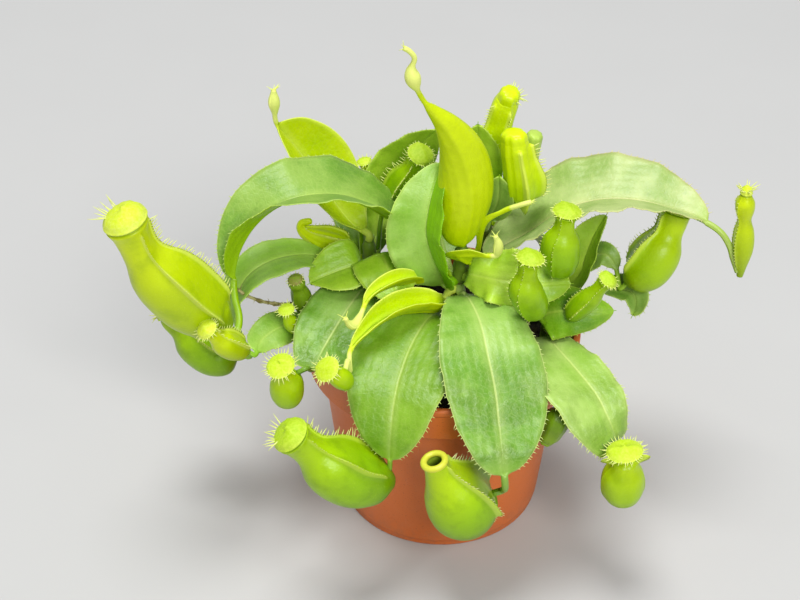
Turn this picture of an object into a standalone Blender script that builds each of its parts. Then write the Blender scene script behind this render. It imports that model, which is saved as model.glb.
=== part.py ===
"""Potted pitcher plant: a young clump of tropical pitcher plants in a small plastic pot.

The pot stands on z = 0 with its axis on the z axis. The plant faces -Y, its widest
leaves reach out along -X and +X. Lengths in this file are millimetres until a mesh
is made, where MM turns them into metres.
"""
import math

import bmesh
import bpy
from mathutils import Vector

MM = 0.001

# Driving dimensions, in millimetres
GAP = 0.3                 # clearance kept between pieces that touch
POT_HEIGHT = 68.0
POT_RIM_RADIUS = 45.0     # outside of the rolled rim, at its top
POT_BAND = 12.0           # height of the rim band
POT_NECK_RADIUS = 39.3    # outside of the body just below the band
POT_BASE_RADIUS = 33.4    # outside of the body where it meets the base
POT_WALL = 1.2
POT_FLOOR = 2.0
DRAIN_HOLE_RADIUS = 1.9
DRAIN_HOLE_RING = 22.0
DRAIN_HOLES = 8
SOIL_TOP = 60.0
STEM_RADIUS = 2.4
PETIOLE_RADIUS = 1.2
TENDRIL_RADIUS = 0.8
BLADE_THICKNESS = 0.9
POT_STEPS = 48            # sides of the turned pot and potting mix

# Foot (x, y) on the potting mix and top (x, y, z) of the stem of each plant in the pot
STEMS = {
    "main": ((4, 4), (6, 5, 95)),
    "left": ((-23, 17), (-24, 18, 88)),
    "right": ((34, 1), (36, 2, 80)),
    "back": ((14, 24), (15, 25, 100)),
}


# ---------------------------------------------------------------- scene and materials
def clear_scene():
    for thing in list(bpy.data.objects):
        bpy.data.objects.remove(thing, do_unlink=True)


def new_collection(name):
    collection = bpy.data.collections.new(name)
    bpy.context.scene.collection.children.link(collection)
    return collection


def finish(name, colour, roughness):
    """A plain finish for one piece."""
    material = bpy.data.materials.new(name + "_finish")
    material.use_nodes = True
    shader = material.node_tree.nodes["Principled BSDF"]
    shader.inputs["Base Color"].default_value = (*colour, 1.0)
    shader.inputs["Roughness"].default_value = roughness
    shader.inputs["Metallic"].default_value = 0.0
    return material


def add_piece(name, mesh, colour, roughness):
    piece = bpy.data.objects.new(name, mesh)
    piece.data.materials.append(finish(name, colour, roughness))
    PLANT.objects.link(piece)
    return piece


# ---------------------------------------------------------------- curves and lofts
def curve_points(route, fractions):
    """Points at fractions of the length of a smooth curve through the route."""
    knots = [Vector(p) for p in route]
    ends = [2 * knots[0] - knots[1]] + knots + [2 * knots[-1] - knots[-2]]
    dense = []
    steps = 16
    for a, b, c, d in zip(ends, ends[1:], ends[2:], ends[3:]):
        for k in range(steps):
            u = k / steps
            dense.append(0.5 * (2 * b + (c - a) * u + (2 * a - 5 * b + 4 * c - d) * u * u
                                + (3 * b - a - 3 * c + d) * u ** 3))
    dense.append(knots[-1])
    reach = [0.0]
    for p, q in zip(dense, dense[1:]):
        reach.append(reach[-1] + (q - p).length)
    points = []
    k = 0
    for fraction in fractions:
        goal = fraction * reach[-1]
        while k < len(dense) - 2 and reach[k + 1] < goal:
            k += 1
        span = max(reach[k + 1] - reach[k], 1e-9)
        points.append(dense[k].lerp(dense[k + 1], min(1.0, (goal - reach[k]) / span)))
    return points


def frames(points, up, middle=0):
    """Tangent, face normal and side of each point. The face looks toward up at the
    middle point and is carried along from there both ways without twisting."""
    last = len(points) - 1
    tangents = [(points[min(k + 1, last)] - points[max(k - 1, 0)]).normalized()
                for k in range(last + 1)]
    normals = [None] * (last + 1)
    for way in (range(middle, last + 1), range(middle, -1, -1)):
        normal = Vector(up)
        for k in way:
            normal = (normal - normal.dot(tangents[k]) * tangents[k]).normalized()
            normals[k] = normal
    return [(t, n, t.cross(n)) for t, n in zip(tangents, normals)]


def loft(name, rings):
    """A closed skin over rings of equal point count, capped at both ends."""
    shell = bmesh.new()
    loops = [[shell.verts.new(p * MM) for p in ring] for ring in rings]
    count = len(loops[0])
    for a, b in zip(loops, loops[1:]):
        for j in range(count):
            i = (j + 1) % count
            shell.faces.new((a[j], a[i], b[i], b[j]))
    for loop, turn in ((loops[0], -1), (loops[-1], 1)):
        centre = shell.verts.new(sum((v.co for v in loop), Vector()) / count)
        for j in range(count):
            pair = (loop[j], loop[(j + 1) % count])
            shell.faces.new((*pair[::turn], centre))
    bmesh.ops.recalc_face_normals(shell, faces=shell.faces)
    mesh = bpy.data.meshes.new(name)
    shell.to_mesh(mesh)
    shell.free()
    mesh.shade_smooth()
    mesh.set_sharp_from_angle(angle=math.radians(50))
    return mesh


def smooth(u):
    u = min(1.0, max(0.0, u))
    return u * u * (3 - 2 * u)


def keyed(keys, at):
    """Value at a place, eased between (place, value) keys."""
    for (a, low), (b, high) in zip(keys, keys[1:]):
        if at <= b:
            return low + (high - low) * smooth((at - a) / (b - a))
    return keys[-1][1]


# ---------------------------------------------------------------- pot and potting mix
def turned(name, profile, colour, roughness):
    """A solid turned about the z axis from a profile of (radius, height)."""
    shell = bmesh.new()
    ring = [shell.verts.new((r * MM, 0, z * MM)) for r, z in profile]
    for a, b in zip(ring, ring[1:]):
        shell.edges.new((a, b))
    mesh = bpy.data.meshes.new(name)
    shell.to_mesh(mesh)
    shell.free()
    piece = add_piece(name, mesh, colour, roughness)
    screw = piece.modifiers.new("turn", "SCREW")
    screw.steps = POT_STEPS
    screw.render_steps = POT_STEPS
    screw.use_merge_vertices = True
    screw.merge_threshold = 0.00001
    return piece


def inner_radius(z):
    """Inside radius of the pot's tapered wall at a height."""
    top = POT_HEIGHT - POT_BAND
    slope = (POT_NECK_RADIUS - POT_BASE_RADIUS) / top
    return POT_BASE_RADIUS + slope * z - POT_WALL


def make_pot():
    step = POT_HEIGHT - POT_BAND
    rim_inside = POT_RIM_RADIUS - 2 * POT_WALL
    profile = [
        (0, POT_FLOOR),
        (inner_radius(POT_FLOOR), POT_FLOOR),
        (inner_radius(step), step),
        (rim_inside - 1.0, step + 1.5),
        (rim_inside, POT_HEIGHT - 0.6),
        (rim_inside + 0.6, POT_HEIGHT),
        (POT_RIM_RADIUS - 0.6, POT_HEIGHT),
        (POT_RIM_RADIUS, POT_HEIGHT - 0.6),
        (POT_RIM_RADIUS - 0.8, step),
        (POT_NECK_RADIUS, step),
        (POT_BASE_RADIUS, 1.5),
        (POT_BASE_RADIUS - 1.5, 0),
        (0, 0),
    ]
    pot = turned("pot", profile, (0.55, 0.17, 0.07), 0.5)
    for k in range(DRAIN_HOLES):
        turn = 2 * math.pi * (k + 0.5) / DRAIN_HOLES
        place = (DRAIN_HOLE_RING * MM * math.cos(turn), DRAIN_HOLE_RING * MM * math.sin(turn), 0)
        bpy.ops.mesh.primitive_cylinder_add(
            vertices=12, radius=DRAIN_HOLE_RADIUS * MM, depth=3 * POT_FLOOR * MM, location=place)
        cutter = bpy.context.object
        cutter.name = f"drain_cutter_{k + 1}"
        cutter.hide_render = True
        cutter.display_type = "WIRE"
        for holder in list(cutter.users_collection):
            holder.objects.unlink(cutter)
        CUTTERS.objects.link(cutter)
        cut = pot.modifiers.new(f"drain_hole_{k + 1}", "BOOLEAN")
        cut.operation = "DIFFERENCE"
        cut.object = cutter


def make_potting_mix():
    low = POT_FLOOR + GAP
    step = POT_HEIGHT - POT_BAND
    profile = [
        (0, low),
        (inner_radius(low) - GAP - 0.1, low),
        (inner_radius(step) - GAP - 0.1, step),
        (inner_radius(step) + 1.6, step + 2.6),
        (inner_radius(step) + 1.9, SOIL_TOP),
        (0, SOIL_TOP),
    ]
    turned("potting_mix", profile[::-1], (0.03, 0.02, 0.012), 0.95)


# ---------------------------------------------------------------- stems
def stem_axis(stem, z):
    (foot_x, foot_y), top = STEMS[stem]
    u = (z - SOIL_TOP) / (top[2] - SOIL_TOP)
    return Vector((foot_x + u * (top[0] - foot_x), foot_y + u * (top[1] - foot_y), z))


def make_stem(stem):
    top = STEMS[stem][1][2]
    low = SOIL_TOP + GAP
    levels = [low + (top - low) * k / 4 for k in range(5)]
    rings = []
    for z in levels:
        centre = stem_axis(stem, z)
        radius = STEM_RADIUS * (0.8 if z == top else 1.0)
        rings.append([centre + radius * Vector((math.cos(a), math.sin(a), 0))
                      for a in (math.tau * j / 12 for j in range(12))])
    add_piece("stem_" + stem, loft("stem_" + stem, rings), (0.10, 0.16, 0.03), 0.6)


def from_stem(stem, height, azimuth, radius):
    """The first two points of a stalk that leaves a stem sideways, or its top."""
    if azimuth is None:
        start = stem_axis(stem, STEMS[stem][1][2]) + Vector((0, 0, GAP))
        return [start, start + Vector((0, 0, 2.5))]
    turn = math.radians(azimuth)
    out = Vector((math.cos(turn), math.sin(turn), 0))
    start = stem_axis(stem, height) + (STEM_RADIUS + 1.5 * GAP) * out
    return [start, start + 2 * radius * out]


# ---------------------------------------------------------------- pitchers
BODY = [(0, 0.25), (0.06, 0.62), (0.18, 0.9), (0.36, 1.0), (0.52, 0.9)]
LID_START = 0.88


class Pitcher:
    """A closed trap: a belly, a neck, a mouth and the lid that still covers it."""

    def __init__(self, name, route, belly, neck, lid, wing=0.0, front=(0, -1, 0), stem=None,
                 stalk=0.0, sides=12, young=False):
        self.name = name
        self.route = (from_stem(*stem, TENDRIL_RADIUS) if stem else []) + [Vector(p) for p in route]
        self.belly = belly
        self.neck = neck
        self.lid = lid
        self.wing = wing
        self.front = front
        self.stalk = stalk
        self.sides = sides
        self.young = young

    def radius(self, s):
        """Body radius at a fraction s of the way from the base to the lid's crown."""
        keys = [(at, part * self.belly) for at, part in BODY]
        keys += [(0.76, self.neck), (0.86, 0.5 * (self.neck + self.lid)),
                 (LID_START, self.lid), (0.94, 0.86 * self.lid), (1.0, 0.35 * self.lid)]
        return keyed(keys, s)

    def places(self):
        body = [0, 0.06, 0.18, 0.36, 0.52, 0.64, 0.76, 0.86, LID_START, 0.94, 1.0]
        stalk = [self.stalk * k / 6 for k in range(6)] if self.stalk else []
        return stalk, [self.stalk + s * (1 - self.stalk) for s in body], body

    def ring(self, centre, frame, radius, wing):
        normal, side = frame[1], frame[2]
        ring = []
        for j in range(self.sides):
            turn = math.tau * j / self.sides
            reach = radius + (wing if j in (1, self.sides - 1) else 0)
            ring.append(centre + reach * (math.cos(turn) * normal + math.sin(turn) * side))
        return ring

    def rings(self):
        stalk, places, body = self.places()
        points = curve_points(self.route, stalk + places)
        tied = frames(points, self.front, len(stalk) + 3)
        rings = []
        for k, (centre, frame) in enumerate(zip(points, tied)):
            if k < len(stalk):
                rings.append(self.ring(centre, frame, TENDRIL_RADIUS, 0))
                continue
            s = body[k - len(stalk)]
            wing = self.wing * smooth(s / 0.3) * smooth((0.84 - s) / 0.1)
            rings.append(self.ring(centre, frame, max(self.radius(s), TENDRIL_RADIUS), wing))
        return rings

    def seat(self, s, toward):
        """Last two points of a tendril that meets this pitcher's side at s."""
        place = self.stalk + s * (1 - self.stalk)
        before, centre, after = curve_points(self.route, [place - 0.02, place, place + 0.02])
        tangent = (after - before).normalized()
        out = Vector(toward)
        out = (out - out.dot(tangent) * tangent).normalized()
        end = centre + (max(self.radius(s), self.radius(s + 0.04)) + GAP) * out
        return [end + 2.5 * out, end]

    def foot(self):
        """Last two points of a tendril that runs straight into this pitcher's foot."""
        end, after = curve_points(self.route, [0, 0.02])
        back = (end - after).normalized()
        return [end + 3 * back, end + GAP * back]

    def make(self):
        colour = (0.55, 0.62, 0.08) if self.young else (0.25, 0.50, 0.02)
        add_piece(self.name, loft(self.name, self.rings()), colour, 0.35)


class OpenPitcher(Pitcher):
    """The one trap whose mouth has opened: hollow, with a rolled yellow mouth ring."""

    WALL = 0.6

    def rings(self):
        outer = [(0, 0.25 * self.belly), (0.06, 0.66 * self.belly), (0.18, 0.93 * self.belly),
                 (0.36, self.belly), (0.54, 0.86 * self.belly), (0.72, 0.55 * self.belly),
                 (0.88, self.neck), (0.95, self.lid), (0.985, self.lid), (1.0, self.lid - 0.5)]
        inner = [(0.985, self.neck - self.WALL + 0.1), (0.9, self.neck - self.WALL),
                 (0.72, 0.55 * self.belly - self.WALL), (0.54, 0.86 * self.belly - self.WALL),
                 (0.36, self.belly - self.WALL), (0.18, 0.93 * self.belly - self.WALL),
                 (0.1, 0.5 * self.belly)]
        path = outer + inner
        marks = sorted({s for s, _ in path})
        points = dict(zip(marks, curve_points(self.route, marks)))
        tied = dict(zip(marks, frames([points[s] for s in marks], self.front, marks.index(0.36))))
        rings = []
        for k, (s, radius) in enumerate(path):
            wing = self.wing * smooth(s / 0.3) * smooth((0.9 - s) / 0.1) if k < len(outer) else 0
            rings.append(self.ring(points[s], tied[s], radius, wing))
        return rings


def plan_pitchers():
    """Every trap that a leaf's tendril meets, with its axis from base to lid."""
    made = [
        Pitcher("pitcher_big_left", [(-66, -17, 80), (-79, -20, 93), (-89, -24, 112), (-96, -27, 129)],
                belly=9.6, neck=5.2, lid=6.2, wing=3.6, front=(0.5, -0.3, 0.8), sides=14),
        Pitcher("pitcher_left_lower", [(-65, -3, 60), (-73, -2, 57), (-83, 0, 59), (-91, 3, 65),
                                       (-97, 5, 71)],
                belly=8.4, neck=4.0, lid=3.6, wing=1.5, front=(0, 0, 1)),
        Pitcher("pitcher_left_small", [(-62, -20, 71), (-66, -24, 75), (-69, -28, 81), (-72, -30, 86)],
                belly=4.0, neck=2.2, lid=3.0, wing=1.0, front=(0.5, 0, 0.8), sides=10),
        Pitcher("pitcher_left_round", [(-49, -33, 60), (-49, -34, 67), (-49, -35, 73), (-51, -36, 81)],
                belly=5.2, neck=2.9, lid=4.3, sides=10),
        Pitcher("pitcher_front_left", [(-16, -51, 45), (-30, -54, 50), (-43, -57, 65), (-49, -59, 75)],
                belly=9.0, neck=4.8, lid=5.8, wing=3.4, front=(0.3, 0, 0.9), sides=14),
        OpenPitcher("pitcher_open", [(9, -51, 26), (4.4, -54, 39), (-1.8, -56.4, 53), (-3.6, -57, 60)],
                    belly=12.0, neck=4.2, lid=4.6, wing=2.4, front=(1, 0.1, 0.5), sides=14),
        Pitcher("pitcher_front_right", [(56, -50, 36), (55, -51, 45), (55, -52, 54), (54, -53, 62)],
                belly=6.8, neck=4.0, lid=5.6, wing=1.0),
        Pitcher("pitcher_far_right", [(95, -4, 90), (94, -4, 102), (92, -4, 116), (92, -4, 125)],
                belly=3.2, neck=2.3, lid=2.6, wing=0.6, front=(-1, 0, 0), sides=10, young=True),
        Pitcher("pitcher_right", [(58, 4, 80), (66, 4, 88), (71, 6, 97), (75, 8, 107)],
                belly=7.2, neck=4.2, lid=4.8, wing=2.0, front=(-0.8, 0, 0.5)),
        Pitcher("pitcher_front_spiky", [(-30, -43, 71), (-31, -44, 76), (-33, -45, 81), (-35, -46, 87)],
                belly=4.4, neck=2.8, lid=3.8, front=(-0.5, -0.8, 0), sides=10, young=True),
    ]
    return {pitcher.name: pitcher for pitcher in made}


def plan_stalked_pitchers():
    """Traps on a tendril of their own that rises or hangs from a stem."""
    return [
        Pitcher("pitcher_right_tall", [(38, -2, 89), (37, -5.5, 94.5), (36, -9, 97), (36, -9, 104),
                                       (36, -9, 111), (36, -9, 119)],
                belly=5.8, neck=3.3, lid=4.2, wing=1.6, front=(-0.9, -0.4, 0), stem=("right", 77, -75),
                stalk=0.42, sides=10),
        Pitcher("pitcher_centre_right", [(33, -8, 73), (31, -15, 80), (28, -18, 87), (25, -20, 95),
                                         (25, -20, 102), (26, -20, 111)],
                belly=5.4, neck=3.2, lid=4.2, wing=1.6, front=(-0.9, -0.4, 0), stem=("right", 69, -110),
                stalk=0.44, sides=10),
        Pitcher("pitcher_right_low", [(39, -11, 78), (43, -14, 84), (47, -15, 90), (52, -16, 98)],
                belly=4.2, neck=2.5, lid=3.3, wing=1.0, front=(-0.5, -0.5, 0.5), stem=("right", 74, -35),
                stalk=0.4, sides=10),
        Pitcher("pitcher_top_front", [(21, 20, 98), (23, 17, 108), (23, 15, 120), (20, 14, 132)],
                belly=5.2, neck=4.2, lid=4.6, wing=2.4, front=(0.7, -0.7, 0), stem=("back", 92, -45),
                stalk=0.36, sides=10, young=True),
        Pitcher("pitcher_top_back", [(17, 27, 108), (18, 28, 116), (18, 28, 130), (20, 26, 141)],
                belly=5.0, neck=4.0, lid=4.2, wing=2.2, front=(-0.3, -0.9, 0), stem=("back", 100, None),
                stalk=0.28, sides=10, young=True),
        Pitcher("pitcher_top_small", [(25, 29, 96), (29, 32, 106), (29, 33, 114), (30, 33, 120)],
                belly=3.0, neck=2.2, lid=2.8, stem=("back", 88, 10), stalk=0.5, sides=8),
        Pitcher("pitcher_back_left", [(-20, 29, 90), (-19, 30, 98), (-13, 28, 107), (-6, 24, 119)],
                belly=4.2, neck=3.2, lid=4.4, wing=1.6, front=(-0.7, -0.5, 0.4), stem=("left", 84, 50),
                stalk=0.36, sides=10),
        Pitcher("pitcher_back_bud", [(-27, 31, 88), (-26, 37, 96), (-25, 39, 101), (-26, 39, 107)],
                belly=2.4, neck=1.8, lid=2.4, stem=("left", 80, 125), stalk=0.62, sides=8, young=True),
        Pitcher("pitcher_left_curled", [(-31, 24, 83), (-36, 22, 86), (-41, 20, 89), (-46, 19, 93)],
                belly=3.2, neck=2.0, lid=1.8, stem=("left", 81, 155), stalk=0.4, sides=8),
        Pitcher("pitcher_left_dark", [(-35, 13, 77), (-41, 7, 79), (-45, 2, 83), (-47, -1, 88)],
                belly=3.6, neck=2.4, lid=2.6, wing=0.8, stem=("left", 74, -170), stalk=0.5, sides=8),
        Pitcher("pitcher_left_bud", [(-34, -2, 68), (-42, -6, 69.5), (-48, -9, 74), (-50, -11, 83)],
                belly=2.5, neck=1.8, lid=2.6, stem=("left", 64, -125), stalk=0.7, sides=8, young=True),
        Pitcher("pitcher_right_under", [(32, -18, 66), (32, -29, 69.2), (33, -36, 69.3), (34, -41, 66),
                                        (34, -42, 60), (35, -42, 52)],
                belly=4.2, neck=3.4, lid=3.0, stem=("right", 63, -100), stalk=0.75, sides=8),
    ]


# ---------------------------------------------------------------- leaves
class Leaf:
    """A blade on a short clasping stalk; its midrib runs on as the tendril."""

    def __init__(self, name, stem, route, blade, width, widest=0.45, fold=(0, 0), cup=(0, 0),
                 up=(0, 0, 1), close=0.0, blunt=0.6, halves=(1, 1), seat=None, bud=0.0,
                 young=False, stalk=PETIOLE_RADIUS):
        self.name = name
        self.route = from_stem(*stem, PETIOLE_RADIUS) + [Vector(p) for p in route] + (seat or [])
        self.blade = blade
        self.width = width
        self.widest = widest
        self.fold = fold
        self.cup = cup
        self.up = up
        self.close = close
        self.blunt = blunt
        self.halves = halves
        self.bud = bud
        self.young = young
        self.stalk = stalk

    def half_width(self, t):
        """Half the blade's width at a fraction t of the midrib, 0 off the blade."""
        u = (t - self.blade[0]) / (self.blade[1] - self.blade[0])
        if not 0 < u < 1:
            return 0.0
        bend = math.log(0.5) / math.log(self.widest)
        return 0.5 * self.width * math.sin(math.pi * u ** bend) ** self.blunt

    def rod_radius(self, t):
        """Radius of the stalk before the blade and of the tendril after it."""
        start, end = self.blade
        radius = self.stalk + (TENDRIL_RADIUS - self.stalk) * smooth((t - start) / (end - start))
        if self.bud and t > end:
            u = (t - end) / (1 - end)
            radius += self.bud * math.sin(math.pi * min(1, max(0, (u - 0.35) / 0.65))) ** 1.5
        return radius

    def places(self):
        start, end = self.blade
        inside = (0, 0.05, 0.14, 0.27, 0.42, 0.57, 0.71, 0.84, 0.94, 1)
        places = [0, 0.5 * start] + [start + u * (end - start) for u in inside]
        tail = 5 if end < 0.93 else 2
        places += [end + (1 - end) * k / tail for k in range(1, tail + 1)]
        return places

    def section(self, half, rod, close):
        """Eight points (side, height) round the blade, or round the stalk."""
        circle = [(rod * math.cos(a), rod * math.sin(a))
                  for a in (math.pi - math.pi * k / 4 for k in range(8))]
        if half <= rod:
            return circle
        share = smooth((half - rod) / (2 * rod))
        blade = []
        for s in (-1, -0.5, 0, 0.5, 1):
            blade.append(self.bent(s, half, 0.5 * BLADE_THICKNESS * (1 - s * s), close))
        for s in (0.5, 0, -0.5):
            blade.append(self.bent(s, half, -0.5 * BLADE_THICKNESS * (1.4 - s * s), close))
        return [(c[0] + (b[0] - c[0]) * share, c[1] + (b[1] - c[1]) * share)
                for c, b in zip(circle, blade)]

    def bent(self, s, half, lift, close):
        """A point across the blade, whose halves fold and curl up by their angles."""
        k = 0 if s < 0 else 1
        fold = math.radians(self.fold[k] + close)
        cup = math.radians(self.cup[k]) or 1e-6
        turn = fold + cup * abs(s)
        half *= self.halves[k]
        side = half / cup * (math.sin(turn) - math.sin(fold))
        height = half / cup * (math.cos(fold) - math.cos(turn))
        side -= lift * math.sin(turn)
        height += lift * math.cos(turn)
        return (math.copysign(side, s) if s else 0.0, height)

    def make(self):
        places = self.places()
        points = curve_points(self.route, places)
        rings = []
        for t, centre, (_, normal, side) in zip(places, points, frames(points, self.up, 6)):
            u = (t - self.blade[0]) / (self.blade[1] - self.blade[0])
            outline = self.section(self.half_width(t), self.rod_radius(t), self.close * smooth(2 * u - 1))
            rings.append([centre + x * side + y * normal for x, y in outline])
        colour = (0.45, 0.66, 0.03) if self.young else (0.16, 0.38, 0.07)
        add_piece(self.name, loft(self.name, rings), colour, 0.4)


def plan_leaves(traps):
    """Every leaf: its stem (height, direction), midrib and blade, in millimetres."""
    def seat(name, s, toward):
        return traps[name].seat(s, toward)

    return [
        # around the front of the main plant
        Leaf("leaf_front_centre", ("main", 80, -80),
             [(8, -9, 84), (11, -21, 84), (13, -32, 80), (15, -41, 74), (16, -49, 68), (17, -57, 61),
              (18, -60, 52)],
             (0.05, 0.82), 33, 0.5, fold=(4, 4), blunt=0.45, up=(0.06, 0, 1),
             seat=seat("pitcher_open", 0.3, (1, 0.1, 0.4))),
        Leaf("leaf_front_left", ("main", 75, -125),
             [(-5, -14, 80), (-10, -24, 78), (-14, -34, 74), (-16, -43, 70), (-17, -50, 64),
              (-14, -54, 58)],
             (0.06, 0.88), 31, 0.5, fold=(5, 5), blunt=0.5,
             seat=seat("pitcher_front_left", 0.06, (0.6, 0, 0.8))),
        Leaf("leaf_young_front", ("main", 84, -130),
             [(-9, -13, 89), (-18, -20, 89), (-24, -27, 88), (-27, -34, 87), (-26, -38, 83),
              (-25, -40, 79)],
             (0.06, 0.56), 16, 0.42, fold=(-30, -30), cup=(-40, -40), up=(0, -0.5, 1), young=True,
             seat=seat("pitcher_front_spiky", 0.12, (1, 0.5, 0.2))),
        Leaf("leaf_young_partner", ("main", 81, 175),
             [(-6, 2, 85), (-14, -5, 89), (-23, -12, 91), (-29, -19, 88)],
             (0.2, 0.85), 9, 0.5, fold=(20, 20), cup=(30, 30), up=(0, -0.5, 1), young=True),
        Leaf("leaf_folded_upright", ("main", 88, -165),
             [(-4, -2, 95), (-5, -3, 106), (-5, -1, 115), (-4, 4, 121), (-2, 8, 124)],
             (0.1, 0.97), 27, 0.5, fold=(0, 50), cup=(10, 10), up=(-0.1, -0.8, 0.5)),
        Leaf("leaf_tall_young", ("main", 95, None),
             [(7, 2, 111), (5, 1, 127), (-1, 0, 141), (-7, -1, 153), (-10, -2, 161), (-11, -3, 170)],
             (0.05, 0.75), 30, 0.42, cup=(105, 105), up=(0.2, 1, 0), bud=1.4, young=True),
        Leaf("leaf_wavy_right", ("main", 84, -25),
             [(12, -2, 90), (18, -6, 91), (25, -8, 90), (33, -9, 88), (42, -10, 90)],
             (0.12, 0.98), 13, 0.5, up=(0, -0.75, 0.65)),
        Leaf("leaf_sprout", ("main", 90, -40),
             [(10, -4, 96), (13, -6, 98), (17, -8, 99), (18, -8, 104), (17, -8, 108)],
             (0.1, 0.62), 8, 0.5, fold=(30, 30), bud=0.5, young=True, stalk=0.9),
        Leaf("leaf_thin_sprout", ("main", 92, 15),
             [(13, 5, 102), (18, -1, 111), (23, -3, 115), (27, -3, 117)],
             (0.1, 0.8), 3.2, 0.5, fold=(30, 30), young=True, stalk=0.9),
        # the two great arching leaves
        Leaf("leaf_arch_left", ("main", 83, 135),
             [(-15, 14, 100), (-30, 9, 111), (-42, 4, 116), (-52, 0, 116), (-59, -5, 112), (-64, -9, 106),
              (-66, -12, 99), (-64, -13, 90), (-61, -15, 81)],
             (0.08, 0.80), 28, 0.5, fold=(22, 22), close=30, seat=traps["pitcher_big_left"].foot()),
        Leaf("leaf_arch_right", ("main", 86, 35),
             [(19, 10, 92), (28, 10, 98), (39, 10, 107), (53, 8, 113), (65, 4, 113), (76, 1, 111),
              (86, -2, 106),
              (90, -3, 99)],
             (0.08, 0.90), 28, 0.5, fold=(22, 22), close=15,
             seat=seat("pitcher_far_right", 0.1, (-1, 0, -0.2))),
        # the left plant
        Leaf("leaf_left_front", ("left", 75, -80),
             [(-25, 5, 79), (-31, -8, 78), (-37, -19, 74), (-41, -26, 70)],
             (0.12, 0.86), 27, 0.5, fold=(5, 5), up=(-0.1, -0.3, 1), blunt=0.5,
             seat=seat("pitcher_left_round", 0.6, (1, 0.4, 0))),
        Leaf("leaf_left_lower", ("left", 79, 175),
             [(-37, 14, 84), (-45, 10, 88), (-53, 5, 90), (-60, 1, 89), (-65, -2, 85), (-66, -3, 77),
              (-62, -4, 67)],
             (0.12, 0.64), 15, 0.5, fold=(8, 8), close=25, up=(0, -0.2, 1),
             seat=traps["pitcher_left_lower"].foot()),
        Leaf("leaf_left_small", ("left", 67, -150),
             [(-37, 4, 69), (-46, -2, 70), (-53, -7, 71), (-58, -12, 70)],
             (0.45, 0.93), 12, 0.5, up=(0, -0.5, 1), seat=traps["pitcher_left_small"].foot()),
        Leaf("leaf_young_left", ("left", 88, None),
             [(-32, 23, 96), (-40, 24, 106), (-47, 24, 116), (-50, 21, 127), (-52, 20, 137),
              (-52, 20, 145)],
             (0.08, 0.76), 26, 0.55, fold=(35, 15), cup=(20, 10), up=(0.4, -0.6, 0.6), bud=1.0, young=True),
        Leaf("leaf_mid_left", ("left", 79, -110),
             [(-27, 9, 84), (-33, 6, 86), (-39, 2, 84)],
             (0.15, 0.95), 12, 0.5, fold=(8, 8), up=(0, -0.3, 1)),
        Leaf("leaf_mid_centre", ("left", 82, -40),
             [(-19, 10, 86), (-16, 3, 87), (-12, -5, 85)],
             (0.25, 0.95), 15, 0.5, fold=(-8, -8), up=(0, -0.3, 1)),
        # the right plant
        Leaf("leaf_right_front", ("right", 66, -80),
             [(35, -15, 71), (39, -28, 71), (44, -39, 69), (47, -44, 65), (50, -45, 58), (53, -40, 50),
              (55, -38, 43)],
             (0.10, 0.74), 28, 0.55, fold=(0, 12), blunt=0.5, halves=(0.45, 1), up=(-0.15, 0, 1),
             seat=seat("pitcher_front_right", 0.12, (0, 1, 0.2))),
        Leaf("leaf_right_low", ("right", 71, -15),
             [(41, -1, 74), (45, -4, 78), (50, -7, 80), (56, -8, 80)],
             (0.1, 0.95), 17, 0.5, up=(0, -0.6, 1)),
        Leaf("leaf_right_upright", ("right", 78, 35),
             [(44, 7, 84), (49, 10, 94), (52, 12, 101)],
             (0.1, 0.95), 10, 0.5, fold=(25, 25), up=(-0.5, -0.6, 0.5)),
        Leaf("leaf_right_small", ("right", 69, 25),
             [(48, 7, 75), (56, 6, 75), (62, 3, 73), (63, -1, 68)],
             (0.5, 0.95), 10, 0.5, fold=(25, 25), up=(-0.3, -0.5, 0.8)),
        Leaf("leaf_right_pale", ("right", 72, 60),
             [(42, 12, 79), (49, 13, 85), (54, 12, 85), (56, 8, 81), (55, 5, 77)],
             (0.3, 0.68), 7, 0.5, up=(0, -0.5, 1), seat=traps["pitcher_right"].foot()),
        # the back plant
        Leaf("leaf_back_right", ("back", 92, -150),
             [(10, 19, 100), (9, 19, 112), (8, 18, 122), (7, 17, 129)],
             (0.12, 0.97), 14, 0.5, fold=(10, 10), up=(0, -0.8, 0.5)),
        Leaf("leaf_back_centre", ("left", 80, 65),
             [(-21, 33, 88), (-19, 36, 95), (-14, 38, 104), (-7, 36, 114), (-1, 33, 122)],
             (0.12, 0.97), 19, 0.5, fold=(10, 10), up=(0.3, -0.7, 0.5)),
        Leaf("leaf_top_small", ("back", 92, -100),
             [(15, 17, 98), (17, 12, 107), (19, 10, 117)],
             (0.3, 0.97), 8, 0.5, fold=(10, 10), up=(0, -0.8, 0.5)),
        # leaves that hang over the rear of the pot
        Leaf("leaf_rear_left", ("left", 72, 95),
             [(-25, 30, 79), (-26, 41, 81), (-27, 53, 75), (-27, 61, 64), (-26, 63, 54)],
             (0.12, 0.80), 23, 0.5, fold=(8, 8), blunt=0.5, bud=0.9),
        Leaf("leaf_rear_centre", ("main", 76, 100),
             [(1, 18, 83), (-2, 32, 87), (-4, 46, 84), (-5, 58, 75), (-5, 64, 64), (-4, 65, 55)],
             (0.14, 0.82), 25, 0.5, fold=(8, 8), blunt=0.5, bud=0.9),
        Leaf("leaf_rear_right", ("back", 80, 40),
             [(24, 34, 86), (33, 43, 88), (42, 50, 84), (49, 56, 74), (52, 59, 63)],
             (0.12, 0.80), 22, 0.5, fold=(8, 8), blunt=0.5, bud=0.9),
    ]


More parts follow.
